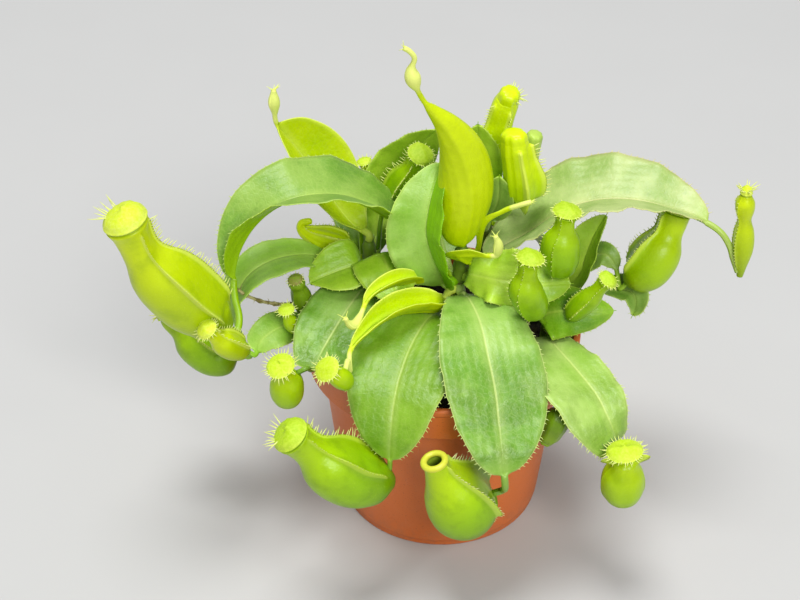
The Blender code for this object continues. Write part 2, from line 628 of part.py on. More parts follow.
def make_dead_tendril():
    """A dry brown tendril left by a withered trap."""
    route = from_stem("left", 65, 170, TENDRIL_RADIUS)
    route += [Vector(p) for p in ((-36, 14, 69), (-46, 7, 71), (-54, 1, 75), (-61, -4, 81), (-67, -7, 88))]
    points = curve_points(route, [k / 14 for k in range(15)])
    rings = []
    for k, (centre, (_, normal, side)) in enumerate(zip(points, frames(points, (0, 0, 1)))):
        radius = 0.75 + 0.25 * (k % 2)
        rings.append([centre + radius * (math.cos(a) * normal + math.sin(a) * side)
                      for a in (math.tau * j / 6 for j in range(6))])
    add_piece("dead_tendril", loft("dead_tendril", rings), (0.35, 0.22, 0.08), 0.8)


clear_scene()
PLANT = new_collection("potted_pitcher_plant")
CUTTERS = new_collection("cutters")
make_pot()
make_potting_mix()
for stem_name in STEMS:
    make_stem(stem_name)
seated = plan_pitchers()
for trap in list(seated.values()) + plan_stalked_pitchers():
    trap.make()
for blade in plan_leaves(seated):
    blade.make()
make_dead_tendril()
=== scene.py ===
"""Looks of a potted pitcher plant: pot, potting mix, stems, leaves and traps.

The object stands on z = 0 and faces -Y. Lengths are millimetres until a mesh is made; the
floor, lamps and camera are in metres.
"""
import math

import bpy
import numpy as np
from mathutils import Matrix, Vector, noise


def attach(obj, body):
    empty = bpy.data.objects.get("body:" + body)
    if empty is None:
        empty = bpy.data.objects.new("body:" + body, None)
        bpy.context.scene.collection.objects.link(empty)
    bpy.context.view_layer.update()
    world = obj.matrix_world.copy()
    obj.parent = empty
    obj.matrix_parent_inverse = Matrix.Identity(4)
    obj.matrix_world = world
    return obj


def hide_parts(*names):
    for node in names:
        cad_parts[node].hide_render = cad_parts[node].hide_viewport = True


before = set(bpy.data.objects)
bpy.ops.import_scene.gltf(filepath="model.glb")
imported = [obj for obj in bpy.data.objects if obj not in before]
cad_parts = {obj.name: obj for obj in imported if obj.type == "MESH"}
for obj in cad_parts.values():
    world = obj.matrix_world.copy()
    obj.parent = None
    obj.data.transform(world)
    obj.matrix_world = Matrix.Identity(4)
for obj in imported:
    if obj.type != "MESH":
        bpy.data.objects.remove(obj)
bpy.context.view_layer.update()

# ---------------------------------------------------------------- pot
# A tapered nursery pot of injection-moulded polypropylene, coloured like terracotta. The rim
# band and the small drainage holes come out of the mould with it; the wall is 1.2 mm thick.
MM = 0.001
POT_HEIGHT = 68.0
POT_RIM_RADIUS = 45.0
POT_BAND = 12.0
POT_NECK_RADIUS = 39.3
POT_BASE_RADIUS = 33.4
POT_WALL = 1.2
POT_FLOOR = 2.0
DRAIN_HOLE_RADIUS = 1.9
DRAIN_HOLE_RING = 22.0
DRAIN_HOLES = 8
DRAIN_HOLE_STEPS = 24
POT_STEPS = 160
SHARP_ANGLE = 40
MIX_FACTOR, MIX_LOW, MIX_HIGH, MIX_RESULT = 0, 6, 7, 2


class Wire:
    """One output of a shader node. Arithmetic on it adds Math nodes to its material."""

    def __init__(self, tree, socket=None):
        self.tree = tree
        self.socket = socket

    def add(self, kind, settings=None, sockets=None, out=0):
        """A new node of this kind; sockets take numbers, colours or other wires."""
        node = self.tree.nodes.new("ShaderNode" + kind)
        for key, value in (settings or {}).items():
            setattr(node, key, value)
        for key, value in (sockets or {}).items():
            if isinstance(value, Wire):
                self.tree.links.new(value.socket, node.inputs[key])
            else:
                node.inputs[key].default_value = value
        return Wire(self.tree, node.outputs[out])

    def math(self, operation, *values):
        return self.add("Math", {"operation": operation}, dict(enumerate(values)))

    def __add__(self, other):
        return self.math("ADD", self, other)

    def __sub__(self, other):
        return self.math("SUBTRACT", self, other)

    def __rsub__(self, other):
        return self.math("SUBTRACT", other, self)

    def __mul__(self, other):
        return self.math("MULTIPLY", self, other)

    __radd__ = __add__
    __rmul__ = __mul__

    def fade(self, low, high):
        """0 below low, 1 above high, eased between; low may be the larger one."""
        return self.add("MapRange", {"interpolation_type": "SMOOTHSTEP"},
                        {"Value": self, "From Min": low, "From Max": high})

    def mark(self, name):
        """A number stored at each point of the mesh."""
        return self.add("Attribute", {"attribute_name": name}, out="Fac")

    def grain(self, size, detail=3.0, stretch=(1, 1, 1), rough=0.55):
        """Soft noise between 0 and 1 whose blotches are about size millimetres."""
        place = self.add("VectorMath", {"operation": "MULTIPLY"}, {0: self, 1: stretch})
        return self.add("TexNoise", {}, {"Vector": place, "Scale": 1.0 / size, "Detail": detail,
                                         "Roughness": rough}, out="Fac")

    def cells(self, size, feature="F1"):
        """Distance within cells about size millimetres across."""
        return self.add("TexVoronoi", {"feature": feature},
                        {"Vector": self, "Scale": 1.0 / size}, out="Distance")

    def mix(self, low, high):
        """Colour low where this wire is 0 and high where it is 1."""
        low, high = ((*c, 1.0) if isinstance(c, tuple) else c for c in (low, high))
        return self.add("Mix", {"data_type": "RGBA"},
                        {MIX_FACTOR: self, MIX_LOW: low, MIX_HIGH: high}, out=MIX_RESULT)


def layered(colour, *layers):
    """A colour with others laid over it in turn, each as far as its wire says."""
    for share, tint in layers:
        colour = share.mix(colour, tint)
    return colour


def finish(name, paint, **constants):
    """A Principled material. paint takes the place in millimetres and returns its wires;
    Height, in millimetres, becomes a bump."""
    material = bpy.data.materials.new(name)
    material.use_nodes = True
    tree = material.node_tree
    shader = tree.nodes["Principled BSDF"]
    coordinates = Wire(tree).add("TexCoord", out="Object")
    place = coordinates.add("VectorMath", {"operation": "SCALE"}, {0: coordinates, "Scale": 1 / MM})
    looks = paint(place)
    height = looks.pop("Height", None)
    if height is not None:
        looks["Normal"] = place.add("Bump", {}, {"Height": height, "Distance": MM})
    for key, value in {**constants, **looks}.items():
        if isinstance(value, Wire):
            tree.links.new(value.socket, shader.inputs[key])
        else:
            shader.inputs[key].default_value = value
    return material


def paint_pot(place):
    cloud = place.grain(28, 2)
    speck = place.grain(0.5, 2).fade(0.60, 0.72)
    dust = place.grain(5, 5, rough=0.7).fade(0.52, 0.72)
    scuff = place.grain(2.2, 4, (1, 1, 0.12), 0.7).fade(0.60, 0.74)
    up = place.add("SeparateXYZ", {}, {0: place}, out="Z")
    splash = up.fade(14, 0) * place.grain(3.5, 4).fade(0.40, 0.62)
    return {
        "Base Color": layered(
            cloud.mix((0.60, 0.130, 0.018), (0.74, 0.180, 0.030)),
            (dust * 0.20, (0.66, 0.25, 0.10)),
            (scuff * 0.18, (0.62, 0.30, 0.17)),
            (speck * 0.35, (0.28, 0.06, 0.015)),
            (splash * 0.25, (0.30, 0.15, 0.08))),
        "Roughness": 0.42 + 0.14 * place.grain(3, 3) + 0.12 * dust,
        "Height": 0.018 * place.grain(0.35, 2) + 0.03 * place.grain(4, 2) - 0.02 * scuff,
    }


def in_scene(name, data):
    """A new object, linked to the scene."""
    thing = bpy.data.objects.new(name, data)
    bpy.context.scene.collection.objects.link(thing)
    return thing


def link(name, mesh, node, material):
    """A finished piece that rides with the root body in place of its CAD node."""
    piece = in_scene(name, mesh)
    mesh.materials.clear()
    mesh.materials.append(material)
    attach(piece, "root")
    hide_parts(node)


def turned_mesh(name, profile, steps):
    """A mesh turned about the z axis from (radius, height) points, top to bottom outside."""
    maker = bpy.data.meshes.new(name)
    edges = [(k, k + 1) for k in range(len(profile) - 1)]
    maker.from_pydata([(r * MM, 0, z * MM) for r, z in profile], edges, [])
    piece = in_scene(name, maker)
    screw = piece.modifiers.new("turn", "SCREW")
    screw.steps = steps
    screw.render_steps = steps
    screw.use_merge_vertices = True
    screw.merge_threshold = 0.00001
    return piece


def rounded(corner, radius, before, after, steps=4):
    """Points of a round at a corner of an outline, between its two neighbours."""
    corner, before, after = (np.array(p, float) for p in (corner, before, after))
    a = corner + radius * (before - corner) / np.linalg.norm(before - corner)
    b = corner + radius * (after - corner) / np.linalg.norm(after - corner)
    return [tuple((1 - u) ** 2 * a + 2 * u * (1 - u) * corner + u * u * b)
            for u in (k / steps for k in range(steps + 1))]


def inner_radius(z):
    """Inside radius of the pot's tapered wall at a height."""
    slope = (POT_NECK_RADIUS - POT_BASE_RADIUS) / (POT_HEIGHT - POT_BAND)
    return POT_BASE_RADIUS + slope * z - POT_WALL


def make_pot():
    """The outline turned about the axis, with the drainage holes cut through the floor."""
    step = POT_HEIGHT - POT_BAND
    inside = POT_RIM_RADIUS - 2 * POT_WALL
    # each corner as (radius, height), with the size of the round on it
    corners = [
        ((0, POT_FLOOR), 0),
        ((inner_radius(POT_FLOOR), POT_FLOOR), 1.2),
        ((inner_radius(step), step), 0.8),
        ((inside - 1.0, step + 1.5), 0.8),
        ((inside, POT_HEIGHT), 0.9),
        ((POT_RIM_RADIUS, POT_HEIGHT), 1.0),
        ((POT_RIM_RADIUS - 0.15, POT_HEIGHT - 2.2), 0.5),
        ((POT_RIM_RADIUS - 0.55, POT_HEIGHT - 2.6), 0.4),
        ((POT_RIM_RADIUS - 0.95, step), 0.7),
        ((POT_NECK_RADIUS + 0.2, step), 1.0),
        ((POT_BASE_RADIUS + 0.25, 2.6), 0.5),
        ((POT_BASE_RADIUS - 0.1, 2.1), 0.5),
        ((POT_BASE_RADIUS - 0.3, 0), 0.9),
        ((POT_BASE_RADIUS - 3.0, 0), 0.4),
        ((POT_BASE_RADIUS - 3.4, 0.35), 0.2),
        ((0, 0.35), 0),
    ]
    outline = []
    for k, (corner, radius) in enumerate(corners):
        if radius:
            outline += rounded(corner, radius, corners[k - 1][0], corners[k + 1][0])
        else:
            outline.append(corner)
    maker = turned_mesh("pot_turning", outline, POT_STEPS)
    cutters = []
    for k in range(DRAIN_HOLES):
        turn = math.tau * (k + 0.5) / DRAIN_HOLES
        place = (DRAIN_HOLE_RING * MM * math.cos(turn), DRAIN_HOLE_RING * MM * math.sin(turn), 0)
        bpy.ops.mesh.primitive_cylinder_add(
            vertices=DRAIN_HOLE_STEPS, radius=DRAIN_HOLE_RADIUS * MM,
            depth=3 * POT_FLOOR * MM, location=place)
        cutters.append(bpy.context.object)
        cut = maker.modifiers.new(f"drain_hole_{k + 1}", "BOOLEAN")
        cut.object = cutters[-1]
    whole = maker.evaluated_get(bpy.context.evaluated_depsgraph_get())
    mesh = bpy.data.meshes.new_from_object(whole)
    for spare in cutters + [maker]:
        bpy.data.objects.remove(spare, do_unlink=True)
    mesh.shade_smooth()
    mesh.set_sharp_from_angle(angle=math.radians(SHARP_ANGLE))
    link("nursery_pot", mesh, "pot",
         finish("moulded_terracotta_plastic", paint_pot))


make_pot()

# ---------------------------------------------------------------- potting mix
# Dark bark and peat that fills the pot to just under its rim. Loose bits of bark lie on top
# of it, pressed in a little by watering.
SOIL_TOP = 60.0
GAP = 0.3
SOIL_STEPS = 120
SOIL_RINGS = 34
BARK_BITS = 330
BARK_CORNERS = 7
BARK_OUTLINE = ((-1, 0.75), (-0.5, 1.0), (0.45, 0.97), (1, 0.6))
SPINE_SIDES = 5
SPINE_OUTLINE = ((-0.2, 1.0), (0.35, 0.78), (0.72, 0.5), (1.0, 0.18))
OBLIQUE = (0.31, 0.52, 0.79)
EAST = (1, 0, 0)
NORTH = (0, 1, 0)
rng = np.random.default_rng(7)


def unit(way):
    """A direction with its length made 1."""
    way = np.asarray(way, float)
    return way / max(np.linalg.norm(way), 1e-6)


def angles(count):
    """Even steps round a full turn."""
    return np.arange(count) * math.tau / count


def around(turns, reach, front, side):
    """Points at each turn about the origin, counted from front toward side."""
    return (reach * np.cos(turns))[:, None] * front + (reach * np.sin(turns))[:, None] * side


class Skin:
    """Grows one mesh, in millimetres, with numbers for the finish stored at each point."""

    MARKS = ("along", "rib", "rim", "under", "tint", "spike")

    def __init__(self):
        self.points = []
        self.faces = []
        self.marks = {name: [] for name in self.MARKS}
        self.count = 0

    def tube(self, rings, **marks):
        """A closed skin over rings of points, with a fan over each end."""
        rows, width = rings.shape[:2]
        first = self.count
        last = first + (rows - 1) * width
        foot = last + width
        pairs = [(j, (j + 1) % width) for j in range(width)]
        for row in range(first, last, width):
            above = row + width
            self.faces += [(row + j, row + i, above + i, above + j) for j, i in pairs]
        for j, i in pairs:
            self.faces += [(first + i, first + j, foot), (last + j, last + i, foot + 1)]
        self.points += [rings.reshape(-1, 3), rings[:1].mean(1), rings[-1:].mean(1)]
        for name in self.MARKS:
            value = np.broadcast_to(np.asarray(marks.get(name, 0.0), float), (rows, width))
            self.marks[name] += [value.ravel(), value[:1].mean(1), value[-1:].mean(1)]
        self.count = foot + 2

    def spine(self, root, way, length, radius, bend, **marks):
        """A soft tapered hair or tooth that stands on root and curves toward bend."""
        way = unit(way)
        aside = unit(np.cross(way, OBLIQUE))
        circle = around(angles(SPINE_SIDES), radius, aside, np.cross(way, aside))
        rings = [root + length * (u * way + u * abs(u) * bend) + share * circle
                 for u, share in SPINE_OUTLINE]
        self.tube(np.array(rings), spike=1.0, **marks)

    def piece(self, name, node, slot, material):
        """The mesh made and linked as a finished piece."""
        mesh = bpy.data.meshes.new(name)
        mesh.from_pydata(np.vstack(self.points) * MM, [], self.faces)
        for mark, values in self.marks.items():
            mesh.attributes.new(mark, "FLOAT", "POINT").data.foreach_set(
                "value", np.concatenate(values))
        mesh.validate()
        mesh.shade_smooth()
        link(name, mesh, node, material)


def paint_bark(place):
    tint = place.mark("tint")
    loose = place.mark("spike")
    fibre = place.grain(0.6, 4, (1, 1, 3), 0.7)
    damp = place.grain(9, 2).fade(0.4, 0.6)
    dark = tint.mix((0.012, 0.008, 0.005), (0.060, 0.034, 0.018))
    return {
        "Base Color": (fibre.fade(0.45, 0.75) * 0.5).mix(dark, (0.10, 0.062, 0.036)),
        "Roughness": 0.95 - 0.30 * damp * (1 - loose * 0.5),
        "Height": 0.45 * place.grain(0.9, 5, rough=0.7) + 0.15 * place.cells(0.5),
    }


def lump(x, y, size):
    """Height of a rough surface of lumps about size millimetres wide, near -1 to 1."""
    return noise.noise(Vector((x / size, y / size, 3.7 * size)))


def bark_bit(skin, centre, size, turn):
    """One broken flake of bark: a rounded block with uneven corners."""
    corners = angles(BARK_CORNERS)
    rings = []
    for z, share in BARK_OUTLINE:
        reach = np.array([share * rng.uniform(0.75, 1.15) for _ in corners])
        ring = around(corners, reach, (size[0], 0, 0), (0, size[1], 0))
        rings.append(ring + (0, 0, z * size[2]))
    rings = np.array(rings)
    slope = rng.uniform(-0.5, 0.5)
    rings[:, :, 2] += slope * rings[:, :, 0]
    spin = ((math.cos(turn), math.sin(turn), 0), (-math.sin(turn), math.cos(turn), 0), (0, 0, 1))
    skin.tube(rings @ spin + centre, tint=rng.uniform(0.1, 1.0), spike=1.0)


def make_potting_mix():
    """The mix with its lumpy top, and the loose bits of bark that lie on it."""
    skin = Skin()
    step = POT_HEIGHT - POT_BAND
    low = POT_FLOOR + GAP
    edge = inner_radius(step) + 1.7
    walls = [(inner_radius(low) - 0.5, low), (inner_radius(30) - 0.4, 30),
             (inner_radius(step) - 0.4, step), (edge, step + 2.6), (edge + 0.1, SOIL_TOP - 1)]
    turns = angles(SOIL_STEPS)
    rings = [around(turns, r, EAST, NORTH) + (0, 0, z) for r, z in walls]
    for r in np.linspace(edge - 0.4, 0.8, SOIL_RINGS):
        ring = around(turns, r, EAST, NORTH)
        ring[:, 2] = [SOIL_TOP + 0.9 * lump(x, y, 7) + 0.7 * lump(x, y, 2.6)
                      + 0.35 * lump(x, y, 1.1) for x, y, _ in ring]
        rings.append(ring)
    skin.tube(np.array(rings), tint=0.25)
    for _ in range(BARK_BITS):
        r = (edge - 3) * math.sqrt(rng.uniform(0, 1))
        turn = rng.uniform(0, math.tau)
        x, y = r * math.cos(turn), r * math.sin(turn)
        length = rng.uniform(0.9, 3.0)
        size = (length, length * rng.uniform(0.4, 0.9), rng.uniform(0.35, 0.9))
        height = SOIL_TOP + 0.9 * lump(x, y, 7) + 0.5 * lump(x, y, 2.6) + 0.2
        bark_bit(skin, (x, y, height), size, rng.uniform(0, math.pi))
    skin.piece("bark_and_peat", "potting_mix", "potting_mix", finish("damp_bark", paint_bark))


make_potting_mix()

# ---------------------------------------------------------------- stems
# The short green stem of each plant in the pot, set in the potting mix. Leaves clasp it one
# above another and leave brown scars lower down.
STEM_RADIUS = 2.4
STEM_STEPS = 20
STEM_ROWS = 48
SCAR_SPACING = 5.5
STEMS = {
    "main": ((4, 4), (6, 5, 95)),
    "left": ((-23, 17), (-24, 18, 88)),
    "right": ((34, 1), (36, 2, 80)),
    "back": ((14, 24), (15, 25, 100)),
}


def smooth(u):
    """0 below 0, 1 above 1, eased between."""
    u = np.clip(u, 0.0, 1.0)
    return u * u * (3 - 2 * u)


def hump(x, width):
    """1 at 0, falling smoothly to almost nothing at twice width."""
    return np.exp(-(x / width) ** 2)


def stem_axis(stem, z):
    """The middle of a stem at a height."""
    (foot_x, foot_y), top = STEMS[stem]
    u = (z - SOIL_TOP) / (top[2] - SOIL_TOP)
    return np.array((foot_x + u * (top[0] - foot_x), foot_y + u * (top[1] - foot_y), z))


def paint_stem(place):
    scar = place.mark("rim")
    blotch = place.grain(2.5, 4)
    worn = scar * place.grain(0.8, 3).fade(0.3, 0.6)
    return {
        "Base Color": worn.mix(blotch.mix((0.10, 0.18, 0.01), (0.20, 0.32, 0.02)),
                               (0.10, 0.055, 0.02)),
        "Roughness": 0.45 + 0.2 * blotch,
        "Height": 0.08 * place.grain(0.4, 3, (1, 1, 0.2)),
    }


def make_stem(stem, material):
    skin = Skin()
    top = STEMS[stem][1][2]
    turns = angles(STEM_STEPS)
    rings, scars = [], []
    for z in np.linspace(SOIL_TOP - 1.0, top, STEM_ROWS):
        phase = (z - SOIL_TOP) / SCAR_SPACING
        scar = hump(phase - round(phase), 0.12)
        ends = 1 - 0.35 * smooth((z - top + 2) / 2)
        swell = STEM_RADIUS * (0.93 + 0.10 * scar) * ends * (1 + 0.03 * np.sin(3 * turns + z))
        rings.append(stem_axis(stem, z) + around(turns, swell, EAST, NORTH))
        scars.append(np.full_like(turns, scar * smooth((top - 6 - z) / 8)))
    skin.tube(np.array(rings), rim=np.array(scars))
    skin.piece(stem + "_plant_stem", "stem_" + stem, "stem_green", material)


stem_finish = finish("green_stem", paint_stem)
for stem_name in STEMS:
    make_stem(stem_name, stem_finish)

# ---------------------------------------------------------------- traps
# Each trap is the swollen, hollow end of a leaf: a round belly, a narrower neck and a domed
# lid that is still shut, with a ring of soft hairs round it. Two fringed wings run down its
# front. It is one living piece with a waxy skin.
TENDRIL_RADIUS = 0.8
CURVE_STEPS = 32
BODY_STEPS = 36
# share of the belly's radius at places along the body, from 0 at the foot
BODY = [(0, 0.25), (0.06, 0.62), (0.18, 0.9), (0.36, 1.0), (0.52, 0.9)]
BELLY_AT = 0.36
NECK_AT = 0.76
NECK_END = 0.84
CREASE_AT = 0.868
LIP_AT = 0.885
LID_START = 0.88
LID_LENGTH = 0.12
LID_FLATNESS = 0.40
RIM_AT = 0.90
CROWN_START = 0.995
WING_STEPS = np.array([-2.4, -1.2, -0.55, -0.22, 0, 0.22, 0.55, 1.2, 2.4])
COMB_START = 0.12
COMB_END = 0.83
FRINGE_AT = 0.885
TUFT_AT = 0.935
FRINGE_GAP = 0.8
FRINGE_RADIUS = 0.20
TUFT_RADIUS = 0.26
STALK_ROWS = 26
STALK_SINK = 2.0
NUDGE = 0.02
LEAD = 2.5
FOOT_LEAD = 3
TRAP_GLOSS = 0.30
TRAP_SPECULAR = 0.35


def nearest(places, at):
    """Index of the place nearest to at."""
    return int(np.argmin(np.abs(np.asarray(places) - at)))


def square_to(way, axis):
    """The part of a direction that is square to an axis, with its length made 1."""
    way = np.asarray(way, float)
    return unit(way - way.dot(axis) * axis)


def curve(route, fractions):
    """Points at fractions of the length of a smooth curve through the route, and the length."""
    knots = np.array([tuple(p) for p in route], float)
    ends = np.vstack([2 * knots[0] - knots[1], knots, 2 * knots[-1] - knots[-2]])
    u = np.arange(CURVE_STEPS)[:, None] / CURVE_STEPS
    dense = []
    for a, b, c, d in zip(ends, ends[1:], ends[2:], ends[3:]):
        dense.append(0.5 * (2 * b + (c - a) * u + (2 * a - 5 * b + 4 * c - d) * u ** 2
                            + (3 * b - a - 3 * c + d) * u ** 3))
    dense = np.vstack(dense + [knots[-1:]])
    steps = np.linalg.norm(np.diff(dense, axis=0), axis=1)
    reach = np.concatenate([[0], np.cumsum(steps)])
    goal = np.asarray(fractions, float) * reach[-1]
    return np.stack([np.interp(goal, reach, dense[:, k]) for k in range(3)], 1), reach[-1]


def frames(points, up, middle):
    """Tangent, face normal and side of each point. The face looks toward up at the middle
    point and is carried from there both ways without twisting."""
    tangents = np.gradient(points, axis=0)
    tangents /= np.linalg.norm(tangents, axis=1)[:, None]
    normals = np.zeros_like(points)
    for way in (range(middle, len(points)), range(middle, -1, -1)):
        normal = up
        for k in way:
            normal = square_to(normal, tangents[k])
            normals[k] = normal
    return tangents, normals, np.cross(tangents, normals)


def profile(keys, at):
    """A smooth curve through (place, value) keys."""
    x, y = (np.array(v, float) for v in zip(*keys))
    slope = np.gradient(y, x)
    k = np.clip(np.searchsorted(x, at, "right") - 1, 0, len(x) - 2)
    span = x[k + 1] - x[k]
    u = np.clip((at - x[k]) / span, 0, 1)
    return ((2 * u ** 3 - 3 * u ** 2 + 1) * y[k] + (u ** 3 - 2 * u ** 2 + u) * span * slope[k]
            + (3 * u ** 2 - 2 * u ** 3) * y[k + 1] + (u ** 3 - u ** 2) * span * slope[k + 1])


def from_stem(stem, height, azimuth, radius):
    """The first two points of a stalk that leaves a stem sideways, or goes on from its top."""
    if azimuth is None:
        start = stem_axis(stem, STEMS[stem][1][2]) + (0, 0, GAP)
        return [start, start + (0, 0, LEAD)]
    turn = math.radians(azimuth)
    out = np.array((math.cos(turn), math.sin(turn), 0))
    start = stem_axis(stem, height) + (STEM_RADIUS + 1.5 * GAP) * out
    return [start, start + 2 * radius * out]


class Trap:
    """One trap with its axis from base to lid, and its own stalk if it has one. The fringe
    spans fringe_arc to each side of the spur, or stands in a tuft that points its own way.
    comb gives the hairs' length on each wing, and spread the angle from the front to a wing.
    A closed trap is so young that nothing marks its lid off yet."""

    def __init__(self, name, route, belly, neck, lid, wing=0.0, front=(0, -1, 0), stem=None,
                 stalk=0.0, fringe=1.6, fringe_arc=180, comb=(1.6, 1.6), tilt=0.0,
                 spread=36, tuft=None, flare=0.0, closed=False, shape=None, look="bright"):
        self.route = (from_stem(*stem, TENDRIL_RADIUS) if stem else []) + route
        self.name, self.front, self.look = name, front, look
        self.belly, self.neck, self.lid = belly, neck, lid
        self.wing, self.flare, self.ridge = wing, flare, math.radians(spread)
        self.stalk, self.tilt, self.closed, self.shape = stalk, tilt, closed, shape
        self.fringe, self.fringe_arc = fringe, math.radians(fringe_arc)
        self.comb, self.tuft = comb, tuft

    def radius(self, s):
        """Radius of the body and lid at places along the axis."""
        keys = [(at, part * self.belly) for at, part in BODY]
        if self.closed:
            keys = keys[:4] + [(0.60, 0.5 * (self.belly + self.neck)), (0.80, self.neck),
                               (RIM_AT, self.lid)]
        else:
            keys += [(0.66, 0.5 * (0.62 * self.belly + self.neck)), (NECK_AT, self.neck),
                     (0.82, 0.6 * self.neck + 0.4 * self.lid), (0.855, self.lid),
                     (RIM_AT, self.lid)]
        body = profile(self.shape or keys, np.minimum(s, RIM_AT))
        power, crease, lip = (4, 0, 0) if self.closed else (2.1, 0.16, 0.05)
        rise = np.clip((s - LID_START) / LID_LENGTH, 0, 1)
        dome = self.lid * (1 - rise ** power) ** (1 / power)
        body = body * (1 - crease * hump(s - CREASE_AT, 0.007))
        return np.where(s > LID_START, dome, body) * (1 + lip * hump(s - LIP_AT, 0.012))

    def seat(self, s, toward):
        """Last two points of a tendril that meets this trap's side at s."""
        place = self.stalk + s * (1 - self.stalk)
        (before, centre, after), _ = curve(self.route, [place - NUDGE, place, place + NUDGE])
        out = square_to(toward, unit(after - before))
        keys = [(at, part * self.belly) for at, part in BODY] + [(NECK_AT, self.neck)]
        size = max(eased(keys, s), eased(keys, s + 0.04))
        end = centre + (size + GAP) * out
        return [end + LEAD * out, end]

    def foot(self):
        """Last two points of a tendril that runs straight into this trap's foot."""
        (end, after), _ = curve(self.route, [0, NUDGE])
        back = unit(end - after)
        return [end + FOOT_LEAD * back, end + GAP * back]

    def sunk(self, s, length):
        """How far the flattened dome of a lid lies below a full one."""
        return 0 if self.closed else LID_FLATNESS * max(s - LID_START, 0) * length

    def skin_angles(self):
        """Angles round the body, closer together over the two wings."""
        plain = angles(BODY_STEPS)
        if not self.wing:
            return plain
        near = WING_STEPS / self.belly
        close = near[-1] + 0.06
        away = plain[(np.abs(turns_from_front(plain - self.ridge)) > close)
                     & (np.abs(turns_from_front(plain + self.ridge)) > close)]
        return np.sort(np.concatenate([away, (self.ridge + near) % math.tau,
                                       (near - self.ridge) % math.tau]))

    def wing_height(self, s):
        """Height of the wings' edges, which end in a point near the foot."""
        edge = self.wing * (1 - 0.55 * smooth((s - 0.35) / 0.35))
        edge = edge + self.flare * smooth((s - 0.66) / 0.13)
        return edge * smooth((s - 0.05) / 0.10) * smooth((0.85 - s) / 0.04)

    def edge_breadth(self):
        """How far a wing's thickened edge reaches to each side."""
        return 0.5 + 0.25 * max(self.wing - 1, 0)

    def edge_share(self, turns):
        """1 on the edge of a wing, 0 beside it."""
        off = np.abs(np.abs(turns_from_front(turns)) - self.ridge) * self.belly
        return np.clip(1.3 - off / self.edge_breadth(), 0, 1)

    def section(self, turns, size, height):
        """Reach at each angle: round behind, flat and raised between the two wings."""
        off = np.abs(turns_from_front(turns))
        level = size + 0.5 * height
        flat = level * math.cos(self.ridge) / np.cos(np.minimum(off, self.ridge))
        away = (off - self.ridge) * self.belly
        inner = size + (flat - size) * smooth((height - 0.9) / 1.2)
        outer = size + 0.5 * height * np.exp(-np.maximum(away, 0) / 0.35)
        edge = 0.5 * height * np.clip(1 - np.abs(away) / self.edge_breadth(), 0, 1) ** 1.2
        return np.where(away < 0, inner, outer) + edge

    def lid_ribs(self, turns, s):
        """Low folds on the lid and a groove down the belly; on a closed trap, folds all along."""
        if self.closed:
            folds = 0.05 * np.cos(8 * turns + 2) + 0.10 * np.cos(2 * turns)
            return folds * smooth(s / 0.2) * (s < CROWN_START)
        ribs = 0.03 * np.cos(13 * turns + 1) * smooth((s - LID_START) / 0.02) * (s < CROWN_START)
        groove = (0.09 if self.flare else 0.03) * hump(turns_from_front(turns), 0.17)
        return ribs - groove * smooth((s - 0.1) / 0.2) * smooth((0.8 - s) / 0.1)

    def lid_keel(self, turns, s):
        """Height of the crest that runs across the lid from side to side."""
        across = np.cos(turns) * math.sqrt(max(0.0, 1 - ((s - LID_START) / LID_LENGTH) ** 2))
        height = 0.03 if self.tuft or self.closed else 0.12
        return height * self.lid * hump(across, 0.30) * smooth((s - LID_START) / 0.05)

    def body_rows(self):
        """Places along the axis, closer together at the lid's edge and its crown."""
        return np.concatenate([
            np.linspace(0, 0.06, 7)[:-1], np.linspace(0.06, NECK_END, 46)[:-1],
            np.linspace(NECK_END, RIM_AT, 17)[:-1],
            RIM_AT + (1 - RIM_AT) * np.sin(np.linspace(0, math.pi / 2, 12))])

    def make(self, material, slot):
        """The stalk, body and lid in one skin, with their hairs."""
        node = "pitcher_" + self.name
        rand = np.random.default_rng(sum(map(ord, node)))
        skin = Skin()
        body = self.body_rows()
        stalk = np.linspace(0, self.stalk, STALK_ROWS)[:-1] if self.stalk else np.array([])
        places = np.concatenate([np.full(len(stalk), -1.0), body])
        points, length = curve(self.route,
                               np.concatenate([stalk, self.stalk + body * (1 - self.stalk)]))
        length *= 1 - self.stalk
        axes = frames(points, self.front, nearest(places, BELLY_AT))
        turns = self.skin_angles()
        share = self.edge_share(turns) if self.wing else 0 * turns
        phase = rand.uniform(0, math.tau)
        rings, along, rim = [], [], []
        for s, centre, tangent, normal, side in zip(places, points, *axes):
            if s < 0:
                reach = np.full_like(turns, TENDRIL_RADIUS)
            else:
                size = max(float(self.radius(s)), TENDRIL_RADIUS * smooth((0.97 - s) / 0.03))
                dent = 0.012 * np.sin(2 * turns + phase + 5 * s) * smooth((0.8 - s) / 0.1)
                reach = self.section(turns, size * (1 + dent), float(self.wing_height(s)))
                reach = reach * (1 + self.lid_ribs(turns, s))
                lift = self.tilt * smooth((s - 0.78) / 0.1) * np.cos(turns)
                lift = lift + self.lid_keel(turns, s) - self.sunk(s, length)
                centre = centre + lift[:, None] * tangent
            rings.append(centre + around(turns, reach, normal, side))
            along.append(np.full_like(turns, min(s, NECK_END) if self.closed else s))
            rim.append(share * smooth(self.wing_height(max(s, 0))))
        rings = np.array(rings)
        if self.stalk:
            rings[0] -= STALK_SINK * unit(self.route[1] - self.route[0])
        skin.tube(rings, along=np.array(along), rim=np.array(rim), tint=rand.uniform(0, 1))
        self.add_combs(skin, rings, axes[0], turns, places, length, rand)
        self.add_fringe(skin, points, axes, places, length, rand)
        skin.piece("trap_" + self.name, node, slot, material)

